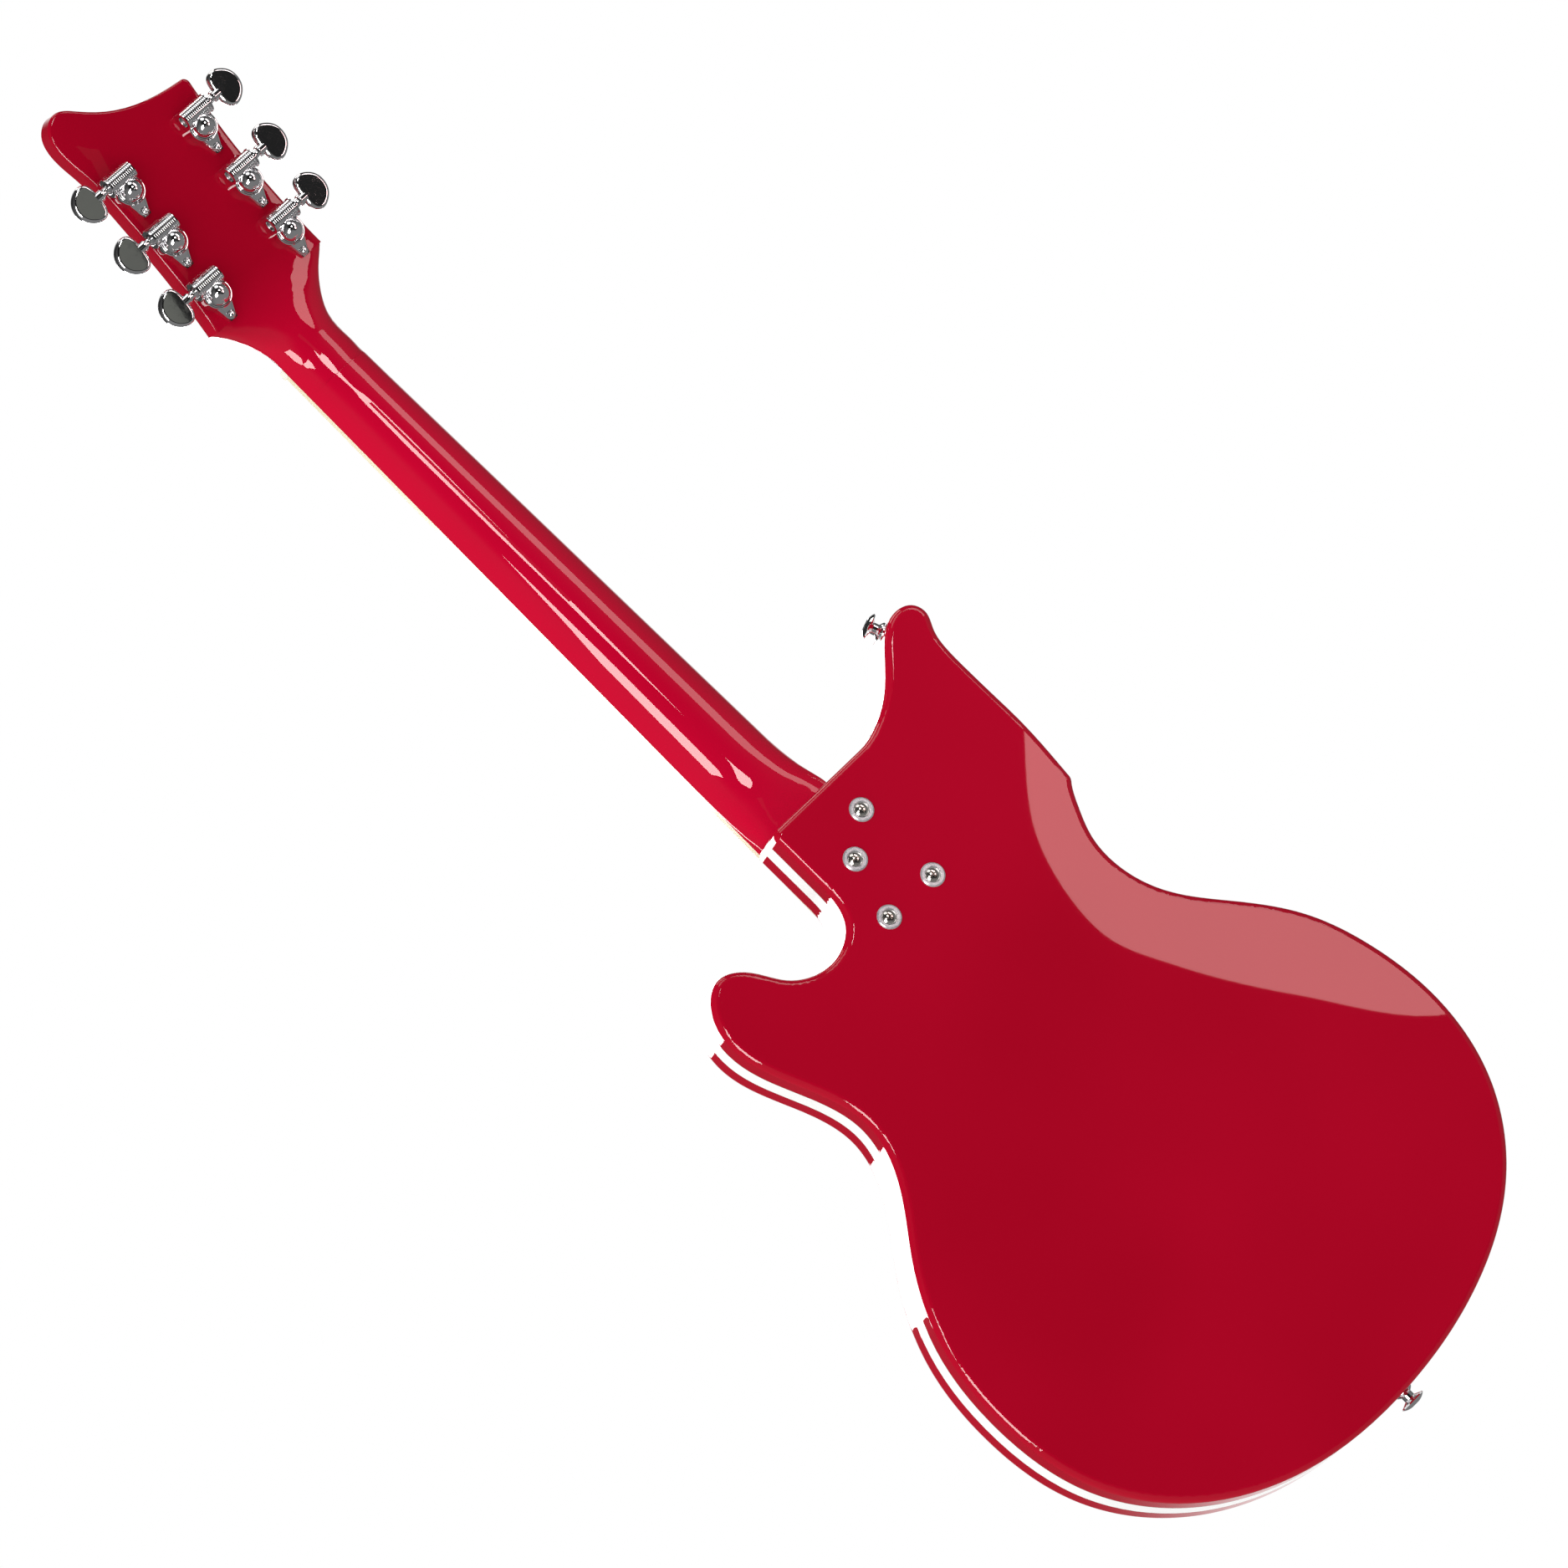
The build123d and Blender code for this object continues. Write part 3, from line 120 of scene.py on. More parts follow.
ray = room_node("ShaderNodeLightPath")
way = room_node("ShaderNodeTexCoord")
low_down = toward((0, 0.3, -1), -0.9, 0.6)
front_treble = toward((0.37, -0.93, 0.08), 0.86, 0.98)
behind_bass = toward((-0.36, 0.86, -0.36), 0.90, 0.98)
behind = toward((0, 1, 0.1), 0.75, 0.97)
white_wall = toward(forward, 0.80, 0.96)
treble_side = toward((1, 0, 0.2), 0.3, 0.95)
bass_side = toward((-1, 0.05, 0), 0.25, 0.85)
dim = room_blend(low_down, 0.03, 0.20)
for direction, strength in ((front_treble, 0.06), (behind_bass, 0.02), (behind, 0.012)):
    dim = room_blend(direction, dim, strength)
polished = room_blend(white_wall, dim, 1.0)
plain = room_blend(bass_side, room_blend(treble_side, 1.04, 1.5), 0.12)
even = room_blend(ray.outputs["Is Glossy Ray"], plain, polished)
clear = room_node("ShaderNodeMath", operation="MAXIMUM")
join(ray.outputs["Is Camera Ray"], clear.inputs[0])
join(ray.outputs["Is Transmission Ray"], clear.inputs[1])
light = room_node("ShaderNodeBackground")
light.inputs["Color"].default_value = (1, 1, 1, 1)
join(room_blend(clear.outputs[0], even, 1.0), light.inputs["Strength"])
join(light.outputs[0], room_node("ShaderNodeOutputWorld").inputs[0])


# Cards and strip lights stand round the guitar. They show only in polished surfaces.

def card(name, corners, colour, strength):
    mesh = bpy.data.meshes.new(name)
    mesh.from_pydata(corners, [], [range(len(corners))])
    sheet = bpy.data.materials.new(name)
    sheet.use_nodes = True
    sheet.node_tree.nodes.clear()
    glow = sheet.node_tree.nodes.new("ShaderNodeEmission")
    glow.inputs["Color"].default_value = (*colour, 1)
    glow.inputs["Strength"].default_value = strength
    end = sheet.node_tree.nodes.new("ShaderNodeOutputMaterial")
    sheet.node_tree.links.new(glow.outputs[0], end.inputs[0])
    mesh.materials.append(sheet)
    board = bpy.data.objects.new(name, mesh)
    bpy.context.scene.collection.objects.link(board)
    board.visible_camera = False
    board.visible_diffuse = False
    board.visible_transmission = False
    board.visible_shadow = False


# The softbox over the camera's shoulder is mirrored in the flat back, with this outline there.
back_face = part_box("body_back")[1].y
mirrored_eye = Vector((eye.x, 2 * back_face - eye.y, eye.z))
softbox_edge = [
    (-0.160, -0.398), (-0.120, -0.434), (-0.078, -0.483), (-0.064, -0.542), (-0.081, -0.587),
    (-0.120, -0.647), (-0.180, -0.717), (-0.28, -0.74), (-0.36, -0.60), (-0.32, -0.42),
    (-0.23, -0.36),
]
softbox_distance = 1.2


def rounded(points, steps=8):
    """A closed curve that runs smoothly through flat points."""
    curve = []
    count = len(points)
    for index in range(count):
        nearby = [Vector(points[(index + step) % count]) for step in (-1, 0, 1, 2)]
        before, start, end, after = nearby
        for step in range(steps):
            t = step / steps
            bend = 2 * start + (end - before) * t + (2 * before - 5 * start + 4 * end - after) * t**2
            curve.append((bend + (3 * start - before - 3 * end + after) * t**3) / 2)
    return curve


softbox = []
for x, z in rounded(softbox_edge):
    on_back = Vector((x, back_face, z))
    away = on_back - mirrored_eye
    softbox.append(mirrored_eye + away * (softbox_distance - mirrored_eye.y) / away.y)
card("softbox", softbox, (1.0, 0.70, 0.69), 4.6)


def upright_card(name, angle, reach, outline, colour, strength):
    """A flat card that stands at an angle from straight behind the guitar, towards treble."""
    middle = Vector((math.sin(angle), math.cos(angle), 0)) * reach
    side = Vector((math.cos(angle), -math.sin(angle), 0))
    corners = [middle + side * across + Vector((0, 0, z)) for across, z in outline]
    card(name, corners, colour, strength)


warm_white = (1, 0.97, 0.95)
pink_white = (1, 0.86, 0.86)
blade = [
    (0, -0.02), (0.16, 0.16), (0.30, 0.34), (0.24, 0.44), (0, 0.56), (-0.24, 0.44), (-0.30, 0.34),
    (-0.16, 0.16),
]
wedge = [(-0.55, -0.085), (0.55, -0.085), (0.55, 0.09), (0.10, 0.13), (-0.35, 0.22), (-0.55, 0.09)]
panel = [(-0.32, -0.35), (0.32, -0.35), (0.32, 1.4), (-0.32, 1.4)]
boot = [(-0.50, -0.10), (-0.05, -0.10), (0.40, -0.35), (0.45, -1.1), (-0.90, -1.1), (-1.10, -0.35)]
upright_card("centre_strip", math.radians(-10.6), 2.6, blade, warm_white, 13.0)
upright_card("treble_card", math.radians(27.5), 2.6, wedge, warm_white, 13.0)
upright_card("bass_card", math.radians(-42), 2.8, panel, pink_white, 3.2)
upright_card("low_card", math.radians(48), 2.8, boot, warm_white, 12.0)

# A grey board stands where the treble tuner buttons mirror it.
grey_board = [(-0.128, -0.14), (-0.085, -0.14), (-0.085, 0.04), (-0.128, 0.04)]
card("grey_board", [(x, 0.5, z) for x, z in grey_board], (0.92, 0.95, 0.85), 0.14)

# A white card in front of the guitar whites out the walls that face up and towards treble, and a
# level card hangs overhead on the bass side.
waist_card = [
    (-0.6, -0.262), (0.35, -0.262), (0.50, -0.20), (0.85, -0.20), (0.85, 0.10), (0.35, 0.12),
    (0.30, 0.50), (-0.6, 0.50),
]
card("waist_card", [(x, -1.5, z) for x, z in waist_card], (1, 1, 1), 6.5)
top_card = [(-1.5, -0.8), (-0.1, -0.8), (-0.1, 0.3), (-1.5, 0.3)]
card("top_card", [(x, y, 2.2) for x, y in top_card], (1, 0.93, 0.88), 3.0)

# A broad lamp overhead gives the even light its slight fall from the neck to the headstock, which painted
# shade in the neck's lacquer deepens.

lamp_data = bpy.data.lights.new("overhead", "AREA")
lamp_data.shape = "DISK"
lamp_data.size = 1.6
lamp_data.energy = 10
lamp = bpy.data.objects.new("overhead", lamp_data)
lamp.location = (-0.9, 2.0, 2.2)
lamp.rotation_euler = (Vector((0, 0, -0.5)) - lamp.location).to_track_quat("-Z", "Y").to_euler()
bpy.context.scene.collection.objects.link(lamp)


# ------------------------------------------------------------------ the body
# Two carved halves of solid timber under a deep cherry lacquer, polished to a mirror. The halves
# are glued to a pale middle layer, whose rim shows all round as a white band between them.


class Finish:
    """A material with its shader, the place on the object, and short ways to add nodes."""

    def __init__(self, name, **sockets):
        self.material = bpy.data.materials.new(name)
        self.material.use_nodes = True
        self.tree = self.material.node_tree
        self.shader = self.tree.nodes["Principled BSDF"]
        for socket, value in sockets.items():
            self.shader.inputs[socket.replace("_", " ")].default_value = value
        self.place = self.tree.nodes.new("ShaderNodeTexCoord").outputs["Object"]

    def add(self, kind, inputs=None, **settings):
        node = self.tree.nodes.new(kind)
        for name, value in settings.items():
            setattr(node, name, value)
        for name, value in (inputs or {}).items():
            if isinstance(value, bpy.types.NodeSocket):
                self.tree.links.new(value, node.inputs[name])
            else:
                node.inputs[name].default_value = value
        return node

    def noise(self, scale, detail=3.0, stretch=(1, 1, 1), roughness=0.5):
        spread = self.add("ShaderNodeMapping", {"Vector": self.place, "Scale": stretch})
        inputs = {"Vector": spread.outputs[0], "Scale": scale, "Detail": detail}
        inputs["Roughness"] = roughness
        return self.add("ShaderNodeTexNoise", inputs).outputs["Fac"]

    def ramp(self, value, *stops):
        node = self.add("ShaderNodeValToRGB", {"Fac": value})
        marks = node.color_ramp.elements
        while len(marks) < len(stops):
            marks.new(0.5)
        for mark, (where, colour) in zip(marks, stops):
            mark.position = where
            mark.color = (*colour, 1)
        return node.outputs["Color"]

    def between(self, value, low, high, start=0.0, end=1.0):
        """A value that goes from low to high as another goes from start to end."""
        inputs = {"Value": value, "From Min": start, "From Max": end, "To Min": low, "To Max": high}
        return self.add("ShaderNodeMapRange", inputs).outputs["Result"]

    def mix(self, share, first, second):
        node = self.add("ShaderNodeMix", data_type="RGBA")
        for slot, value in ((0, share), (6, first), (7, second)):
            if isinstance(value, bpy.types.NodeSocket):
                self.tree.links.new(value, node.inputs[slot])
            else:
                node.inputs[slot].default_value = value if slot == 0 else (*value, 1)
        return node.outputs[2]

    def math(self, operation, first, second):
        node = self.add("ShaderNodeMath", operation=operation)
        for slot, value in ((0, first), (1, second)):
            if isinstance(value, bpy.types.NodeSocket):
                self.tree.links.new(value, node.inputs[slot])
            else:
                node.inputs[slot].default_value = value
        return node.outputs[0]

    def axis(self, letter):
        return self.add("ShaderNodeSeparateXYZ", {"Vector": self.place}).outputs[letter]

    def colour(self, value):
        self.tree.links.new(value, self.shader.inputs["Base Color"])

    def rough(self, value):
        self.tree.links.new(value, self.shader.inputs["Roughness"])

    def bump(self, height, strength, distance):
        inputs = {"Height": height, "Strength": strength, "Distance": distance}
        node = self.add("ShaderNodeBump", inputs)
        self.tree.links.new(node.outputs["Normal"], self.shader.inputs["Normal"])


def paint(node, finish):
    nodes[node].material_slots[0].material = finish.material


def lacquer(name, deep, bright):
    """Cherry lacquer: slow drift of tone, fine dust, faint polishing haze and a trace of orange peel."""
    coat = Finish(name, Coat_Weight=1.0, Coat_Roughness=0.012, Coat_IOR=1.5, Specular_IOR_Level=0.0)
    drift = coat.noise(4.5, 2.0)
    tone = coat.ramp(drift, (0.30, deep), (0.72, bright))
    speck = coat.ramp(coat.noise(900, 1.0), (0.80, (0, 0, 0)), (0.86, (1, 1, 1)))
    dusty = coat.mix(coat.math("MULTIPLY", speck, 0.12), tone, (0.62, 0.10, 0.10))
    coat.colour(dusty)
    coat.rough(coat.between(coat.noise(38, 4.0), 0.30, 0.46))
    coat.bump(coat.noise(16, 1.0), 0.05, 0.0002)
    return coat


body_red = lacquer("red_lacquer", (0.385, 0.0012, 0.0150), (0.455, 0.0018, 0.0205))
paint("body_back", body_red)
paint("body_front", body_red)

band_low, band_high = (corner.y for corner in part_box("body_middle"))
band = Finish("white_band", Coat_Weight=0.35, Coat_Roughness=0.03, Specular_IOR_Level=0.2)
height = band.axis("Y")
mottle = band.noise(22, 4.0, (1, 1, 0.25))
ivory = band.ramp(mottle, (0.3, (0.95, 0.94, 0.92)), (0.7, (0.99, 0.985, 0.975)))
back_line = band.between(height, 0.0, 1.0, band_high - 0.0007, band_high - 0.0004)
front_line = band.between(height, 1.0, 0.0, band_low + 0.0003, band_low + 0.0006)
lined = band.mix(back_line, ivory, (0.30, 0.13, 0.09))
band.colour(band.mix(front_line, lined, (0.34, 0.16, 0.12)))
band.rough(band.between(band.noise(60, 3.0), 0.18, 0.34))
band.bump(band.noise(320, 2.0), 0.06, 0.0002)
paint("body_middle", band)


# ------------------------------------------------------------------ the neck
# One piece of timber, round behind the board and flat behind the tuners, under the same cherry
# lacquer. Its red is painted a little brighter than the body's, as painted light for the light the
# neck catches, and the headstock is painted darker, as painted shade where it faces down.

# Painted light: a copy of the body's cherry lacquer, painted brighter for the light the neck catches.
neck_red_painted_light = lacquer("red_neck", (0.50, 0.0010, 0.0230), (0.56, 0.0016, 0.0290))
# Painted shade: the headstock, which faces down away from the overhead light, is painted darker.
drop = neck_red_painted_light.between(neck_red_painted_light.axis("Z"), 0.0, 1.0, 0.015, 0.055)
tone = neck_red_painted_light.shader.inputs["Base Color"].links[0].from_socket
neck_red_painted_light.colour(neck_red_painted_light.mix(neck_red_painted_light.math("MULTIPLY", drop, 0.75), tone, (0.29, 0.0006, 0.0105)))


# Two normals whose dot product is over this lie on one skin.
same_skin = 0.8


def fitted(place, normal, near):
    """The normal of the curved sheet that lies closest to the points near a place."""
    side = normal.orthogonal().normalized()
    along = normal.cross(side)
    offsets = numpy.array([other - place for other in near])
    u, v, height = (offsets @ numpy.array(axis) for axis in (side, along, normal))
    sheet = numpy.stack([numpy.ones_like(u), u, v, u * u, u * v, v * v], axis=1)
    terms, _, rank, _ = numpy.linalg.lstsq(sheet, height, rcond=None)
    if rank < sheet.shape[1]:
        return normal
    return (normal - side * float(terms[1]) - along * float(terms[2])).normalized()


def refitted(mesh, top, reach, enough=12):
    """The normals of all corners, and each smooth fan of corners below a level, with its place, its
    normal and the normal that fits its surroundings."""
    corners = [corner.vector.copy() for corner in mesh.corner_normals]
    places = [mesh.vertices[loop.vertex_index].co.copy() for loop in mesh.loops]
    fans = {}
    for index, loop in enumerate(mesh.loops):
        rounded_normal = [round(part, 3) for part in corners[index]]
        fans.setdefault((loop.vertex_index, *rounded_normal), []).append(index)
    firsts = [fan[0] for fan in fans.values()]
    tree = KDTree(len(firsts))
    for index, first in enumerate(firsts):
        tree.insert(places[first], index)
    tree.balance()
    results = []
    for fan in fans.values():
        place, normal = places[fan[0]], corners[fan[0]]
        if place.z >= top:
            continue
        found = [firsts[index] for _, index, _ in tree.find_range(place, reach)]
        near = [places[other] for other in found if corners[other].dot(normal) > same_skin]
        if len(near) >= enough:
            results.append((fan, place, normal, fitted(place, normal, near)))
    return corners, results


def soothed(places, normals, reach=0.0065, along=0.30, alike=0.85):
    """The normals, each blended with those near it that are alike, from further off along the neck
    than around it."""
    squashed = [(place.x, place.y, along * place.z) for place in places]
    tree = KDTree(len(places))
    for index, place in enumerate(squashed):
        tree.insert(place, index)
    tree.balance()
    blended = []
    for place, normal in zip(squashed, normals):
        total = normal.copy()
        for _, index, away in tree.find_range(place, reach):
            if normals[index].dot(normal) > alike:
                total += normals[index] * (1 - away / reach)
        blended.append(total.normalized())
    return blended


def evened(node, name, levels, top, reach=0.0085, fade=0.008, crease=34):
    """A copy of a solid, cut across at the levels and, below the top level, shaded as one smooth skin
    that fades into the solid's own shading at the top."""
    shape = bmesh.new()
    shape.from_mesh(nodes[node].data)
    bmesh.ops.remove_doubles(shape, verts=shape.verts, dist=0.00002)
    for level in levels:
        everything = [*shape.verts, *shape.edges, *shape.faces]
        bmesh.ops.bisect_plane(shape, geom=everything, plane_co=(0, 0, level), plane_no=(0, 0, 1))
    mesh = bpy.data.meshes.new(name)
    shape.to_mesh(mesh)
    shape.free()
    if "custom_normal" in mesh.attributes:
        mesh.attributes.remove(mesh.attributes["custom_normal"])
    mesh.shade_smooth()
    mesh.set_sharp_from_angle(angle=math.radians(crease))
    corners, results = refitted(mesh, top, reach)
    soft = soothed([place for _, place, _, _ in results], [better for *_, better in results])
    for better, (fan, place, normal, _) in zip(soft, results):
        share = min(1, (top - place.z) / fade)
        for corner in fan:
            corners[corner] = normal.lerp(better, share).normalized()
    mesh.normals_split_custom_set(corners)
    return mesh


def turned_shape(profile, seat, around=40):
    """Points and faces of a turned shape. The profile lists (radius, height), and is either closed or
    runs from axis to axis."""
    points, faces, rings = [], [], []
    for radius, height in profile:
        steps = around if radius else 1
        rings.append([len(points) + step for step in range(steps)])
        for step in range(steps):
            angle = 2 * math.pi * step / around
            points.append(seat(radius * math.cos(angle), radius * math.sin(angle), height))
    closing = [(rings[-1], rings[0])] if profile[0][0] else []
    for low, high in [*zip(rings, rings[1:]), *closing]:
        for step in range(around):
            corners = [low[step % len(low)], low[(step + 1) % len(low)]]
            corners += [high[(step + 1) % len(high)], high[step % len(high)]]
            face = list(dict.fromkeys(corners))
            if len(face) > 2:
                faces.append(face)
    return points, faces


def pillar(outlines, seat):
    """Points and faces of a stack of outlines, closed at both ends. Each outline lists as many
    (x, y, height) corners as the others."""
    count = len(outlines[0])
    points = [seat(*corner) for outline in outlines for corner in outline]
    faces = [list(range(count)), list(range(len(points) - count, len(points)))]
    for lower in range(0, len(points) - count, count):
        upper = lower + count
        for step in range(count):
            after = (step + 1) % count
            faces.append([lower + step, lower + after, upper + after, upper + step])
    return points, faces


def made_mesh(name, shapes, crease=36):
    """One mesh of several closed shapes, with its faces outward and only its edges left sharp."""
    points, faces = [], []
    for more_points, more_faces in shapes:
        faces += [[len(points) + corner for corner in face] for face in more_faces]
        points += more_points
    mesh = bpy.data.meshes.new(name)
    mesh.from_pydata(points, [], faces)
    shape = bmesh.new()
    shape.from_mesh(mesh)
    bmesh.ops.recalc_face_normals(shape, faces=shape.faces)
    shape.to_mesh(mesh)
    shape.free()
    mesh.shade_smooth()
    mesh.set_sharp_from_angle(angle=math.radians(crease))
    return mesh


def place_piece(name, mesh, finish, body, slot, *stands_for):
    """Sets a finished mesh in the scene as a piece that rides on a body."""
    mesh.materials.clear()
    mesh.materials.append(finish.material)
    piece = bpy.data.objects.new(name, mesh)
    bpy.context.scene.collection.objects.link(piece)
    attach(piece, body)
    if stands_for:
        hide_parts(*stands_for)


# The neck is cut across every 4 mm, clear of the level where its two lofted lengths meet.
neck_foot, neck_pace, neck_cuts, neck_top = -0.3755, 0.004, 112, 0.056
neck_levels = [neck_foot + neck_pace * step for step in range(neck_cuts)]
neck_timber = evened("neck", "neck_timber", neck_levels, neck_top)
place_piece("neck_timber", neck_timber, neck_red_painted_light, "guitar", "red_neck", "neck")


# ------------------------------------------------- fingerboard, frets and nut
# A dark oiled board with open grain, edged in cream strips, with pearl position marks, nickel
# frets pressed into slots and a bone nut at its upper end.

wood = Finish("rosewood", Specular_IOR_Level=0.4)
figure = wood.noise(34, 5.0, (1.0, 1.0, 0.06), 0.62)
grain = wood.noise(240, 3.0, (1.0, 1.0, 0.03), 0.55)
dark, middling, light_brown = (0.030, 0.014, 0.010), (0.078, 0.034, 0.020), (0.140, 0.062, 0.034)
brown = wood.ramp(figure, (0.30, dark), (0.52, middling), (0.75, light_brown))
pores = wood.ramp(grain, (0.36, (1, 1, 1)), (0.46, (0, 0, 0)))
wood.colour(wood.mix(wood.math("MULTIPLY", pores, 0.7), brown, (0.012, 0.006, 0.005)))
wood.rough(wood.between(figure, 0.36, 0.58))
wood.bump(wood.math("SUBTRACT", grain, pores), 0.35, 0.0003)
paint("fingerboard", wood)

cream = Finish("cream_binding", Coat_Weight=0.5, Coat_Roughness=0.05, Subsurface_Weight=0.05)
aged = cream.ramp(cream.noise(30, 4.0, (1, 1, 0.2)), (0.3, (0.72, 0.57, 0.33)), (0.7, (0.84, 0.74, 0.50)))
cream.colour(aged)
cream.rough(cream.between(cream.noise(90, 3.0), 0.24, 0.40))
cream.bump(cream.noise(420, 2.0), 0.08, 0.0001)
paint("fingerboard_binding", cream)

pearl = Finish("pearl", Coat_Weight=1.0, Coat_Roughness=0.02, Specular_IOR_Level=0.7)
swirl = pearl.noise(95, 5.0, (1.0, 1.0, 0.45), 0.6)
sheen = pearl.ramp(
    swirl,
    (0.25, (0.50, 0.55, 0.58)),
    (0.42, (0.86, 0.86, 0.82)),
    (0.55, (0.70, 0.62, 0.66)),
    (0.72, (0.90, 0.93, 0.90)),
)
pearl.colour(sheen)
pearl.rough(pearl.between(swirl, 0.16, 0.34))
pearl.bump(swirl, 0.10, 0.0002)
paint("position_markers", pearl)

nickel = Finish("fret_wire", Metallic=1.0)
nickel.colour(nickel.ramp(nickel.noise(160, 3.0), (0.3, (0.56, 0.54, 0.50)), (0.7, (0.70, 0.68, 0.64))))
nickel.rough(nickel.between(nickel.noise(700, 2.0, (0.2, 1, 1)), 0.14, 0.34))
nickel.bump(nickel.noise(1500, 1.0, (0.15, 1, 1)), 0.12, 0.00004)
paint("frets", nickel)


def grown(name, start, inputs, build):
    """The mesh that a Geometry Nodes tree grows from a start mesh. The tree is made by build."""
    tree = bpy.data.node_groups.new(name, "GeometryNodeTree")
    tree.interface.new_socket("Geometry", in_out="INPUT", socket_type="NodeSocketGeometry")
    kinds = {float: "NodeSocketFloat", int: "NodeSocketInt"}
    for label, value in inputs.items():
        kind = kinds.get(type(value), "NodeSocketMaterial")
        tree.interface.new_socket(label, in_out="INPUT", socket_type=kind)
    tree.interface.new_socket("Geometry", in_out="OUTPUT", socket_type="NodeSocketGeometry")

    def add(kind, links=None, **settings):
        node = tree.nodes.new(kind)
        for setting, value in settings.items():
            setattr(node, setting, value)
        for socket, value in (links or {}).items():
            if isinstance(value, bpy.types.NodeSocket):
                tree.links.new(value, node.inputs[socket])
            else:
                node.inputs[socket].default_value = value
        return node

    entry = add("NodeGroupInput")
    last = build(add, entry.outputs)
    painted = add("GeometryNodeSetMaterial", {"Geometry": last, "Material": entry.outputs["Material"]})
    add("NodeGroupOutput", {"Geometry": painted.outputs["Geometry"]})
    holder = bpy.data.objects.new(name, start)
    bpy.context.scene.collection.objects.link(holder)
    modifier = holder.modifiers.new(name, "NODES")
    modifier.node_group = tree
    for item in tree.interface.items_tree:
        if item.in_out == "INPUT" and item.name in inputs:
            modifier[item.identifier] = inputs[item.name]
    bpy.context.view_layer.update()
    ready = holder.evaluated_get(bpy.context.evaluated_depsgraph_get())
    mesh = bpy.data.meshes.new_from_object(ready)
    bpy.data.objects.remove(holder)
    return mesh


# Each fret is one bead of wire, bevelled at both ends, set at its stop on the scale, stretched to
# the width of the board there and bent down at its ends to follow the board's crown.
scale_length = 0.6477
crown_radius = 0.305
board_low, board_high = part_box("fingerboard_binding")
bead_rise = 0.0011
bead_half = 0.0012
fret_inset = 0.0003


def bead(half_width, tall):
    """One bead of wire from x = -1 to x = 1, with a half-round section that falls off at its ends."""
    arch = [(math.cos(math.pi * step / 10), math.sin(math.pi * step / 10)) for step in range(11)]
    half = ((0.955, 1), (0.985, 0.62), (1, 0.12))
    outlines = []
    for x, share in (*((-x, share) for x, share in reversed(half)), (0, 1), *half):
        outlines.append([(x, -tall * share * rise, half_width * run) for run, rise in arch])
    return made_mesh("fret_bead", [pillar(outlines, lambda x, y, z: Vector((x, y, z)))], crease=50)


def fret_tree(add, given):
    """Beads at the stops of a twelve-step scale, each as wide as the board there and bent to its crown."""
    count = add("GeometryNodeMeshLine", {"Count": given["Frets"], "Offset": (0, 0, 0)})
    number = add("ShaderNodeMath", {0: add("GeometryNodeInputIndex").outputs[0], 1: 1.0}, operation="ADD")
    octaves = add("ShaderNodeMath", {0: number.outputs[0], 1: -12.0}, operation="DIVIDE")
    left = add("ShaderNodeMath", {0: 2.0, 1: octaves.outputs[0]}, operation="POWER")
    gone = add("ShaderNodeMath", {0: left.outputs[0], 1: 1.0}, operation="SUBTRACT")
    drop = add("ShaderNodeMath", {0: gone.outputs[0], 1: given["Scale length"]}, operation="MULTIPLY")
    stop = add("ShaderNodeCombineXYZ", {"Y": given["Seat"], "Z": drop.outputs[0]})
    stops = {"Geometry": count.outputs["Mesh"], "Position": stop.outputs[0]}
    placed = add("GeometryNodeSetPosition", stops)
    growth = add("ShaderNodeMath", {0: drop.outputs[0], 1: given["Taper"]}, operation="MULTIPLY")
    half = add("ShaderNodeMath", {0: given["Half width"], 1: growth.outputs[0]}, operation="SUBTRACT")
    size = add("ShaderNodeCombineXYZ", {"X": half.outputs[0], "Y": 1.0, "Z": 1.0})
    set_out = add(
        "GeometryNodeInstanceOnPoints",
        {"Points": placed.outputs["Geometry"], "Instance": given["Geometry"], "Scale": size.outputs[0]},
    )
    real = add("GeometryNodeRealizeInstances", {"Geometry": set_out.outputs["Instances"]})
    place = add("GeometryNodeInputPosition").outputs[0]
    across = add("ShaderNodeSeparateXYZ", {"Vector": place}).outputs["X"]
    squared = add("ShaderNodeMath", {0: across, 1: across}, operation="MULTIPLY")
    bent = add("ShaderNodeMath", {0: squared.outputs[0], 1: given["Crown radius"]}, operation="DIVIDE")
    fall = add("ShaderNodeMath", {0: bent.outputs[0], 1: 0.5}, operation="MULTIPLY")
    shift = add("ShaderNodeCombineXYZ", {"Y": fall.outputs[0]})
    bending = {"Geometry": real.outputs["Geometry"], "Offset": shift.outputs[0]}
    crowned = add("GeometryNodeSetPosition", bending)
    return crowned.outputs["Geometry"]


nut_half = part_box("nut")[1].x
fret_inputs = {
    "Frets": 22,
    "Scale length": scale_length,
    "Seat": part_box("frets")[0].y + bead_rise,
    "Half width": nut_half - fret_inset,
    "Taper": (board_high.x - nut_half) / (board_high.z - board_low.z),
    "Crown radius": crown_radius,
    "Material": nickel.material,
}
fret_mesh = grown("fret_wires", bead(bead_half, bead_rise), fret_inputs, fret_tree)
place_piece("fret_wires", fret_mesh, nickel, "guitar", "fret_wire", "frets")

bone = Finish("bone", Subsurface_Weight=0.08, Coat_Weight=0.3, Coat_Roughness=0.12)
marrow = bone.noise(120, 4.0, (0.3, 1, 1))
bone.colour(bone.ramp(marrow, (0.3, (0.70, 0.62, 0.46)), (0.7, (0.84, 0.79, 0.66))))
bone.rough(bone.between(bone.noise(300, 3.0), 0.28, 0.48))
bone.bump(bone.noise(900, 2.0), 0.10, 0.00008)
paint("nut", bone)


# ---------------------------------------------------------------- the metals
# Cast and turned hardware under bright chrome. Working parts that hardly show are plain steel.


def paint_all(kind, finish):
    """Paints every solid that is made of a kind of metal."""
    for node in nodes:
        if nodes[node].material_slots[0].material.name.split(".")[0] == kind:
            paint(node, finish)


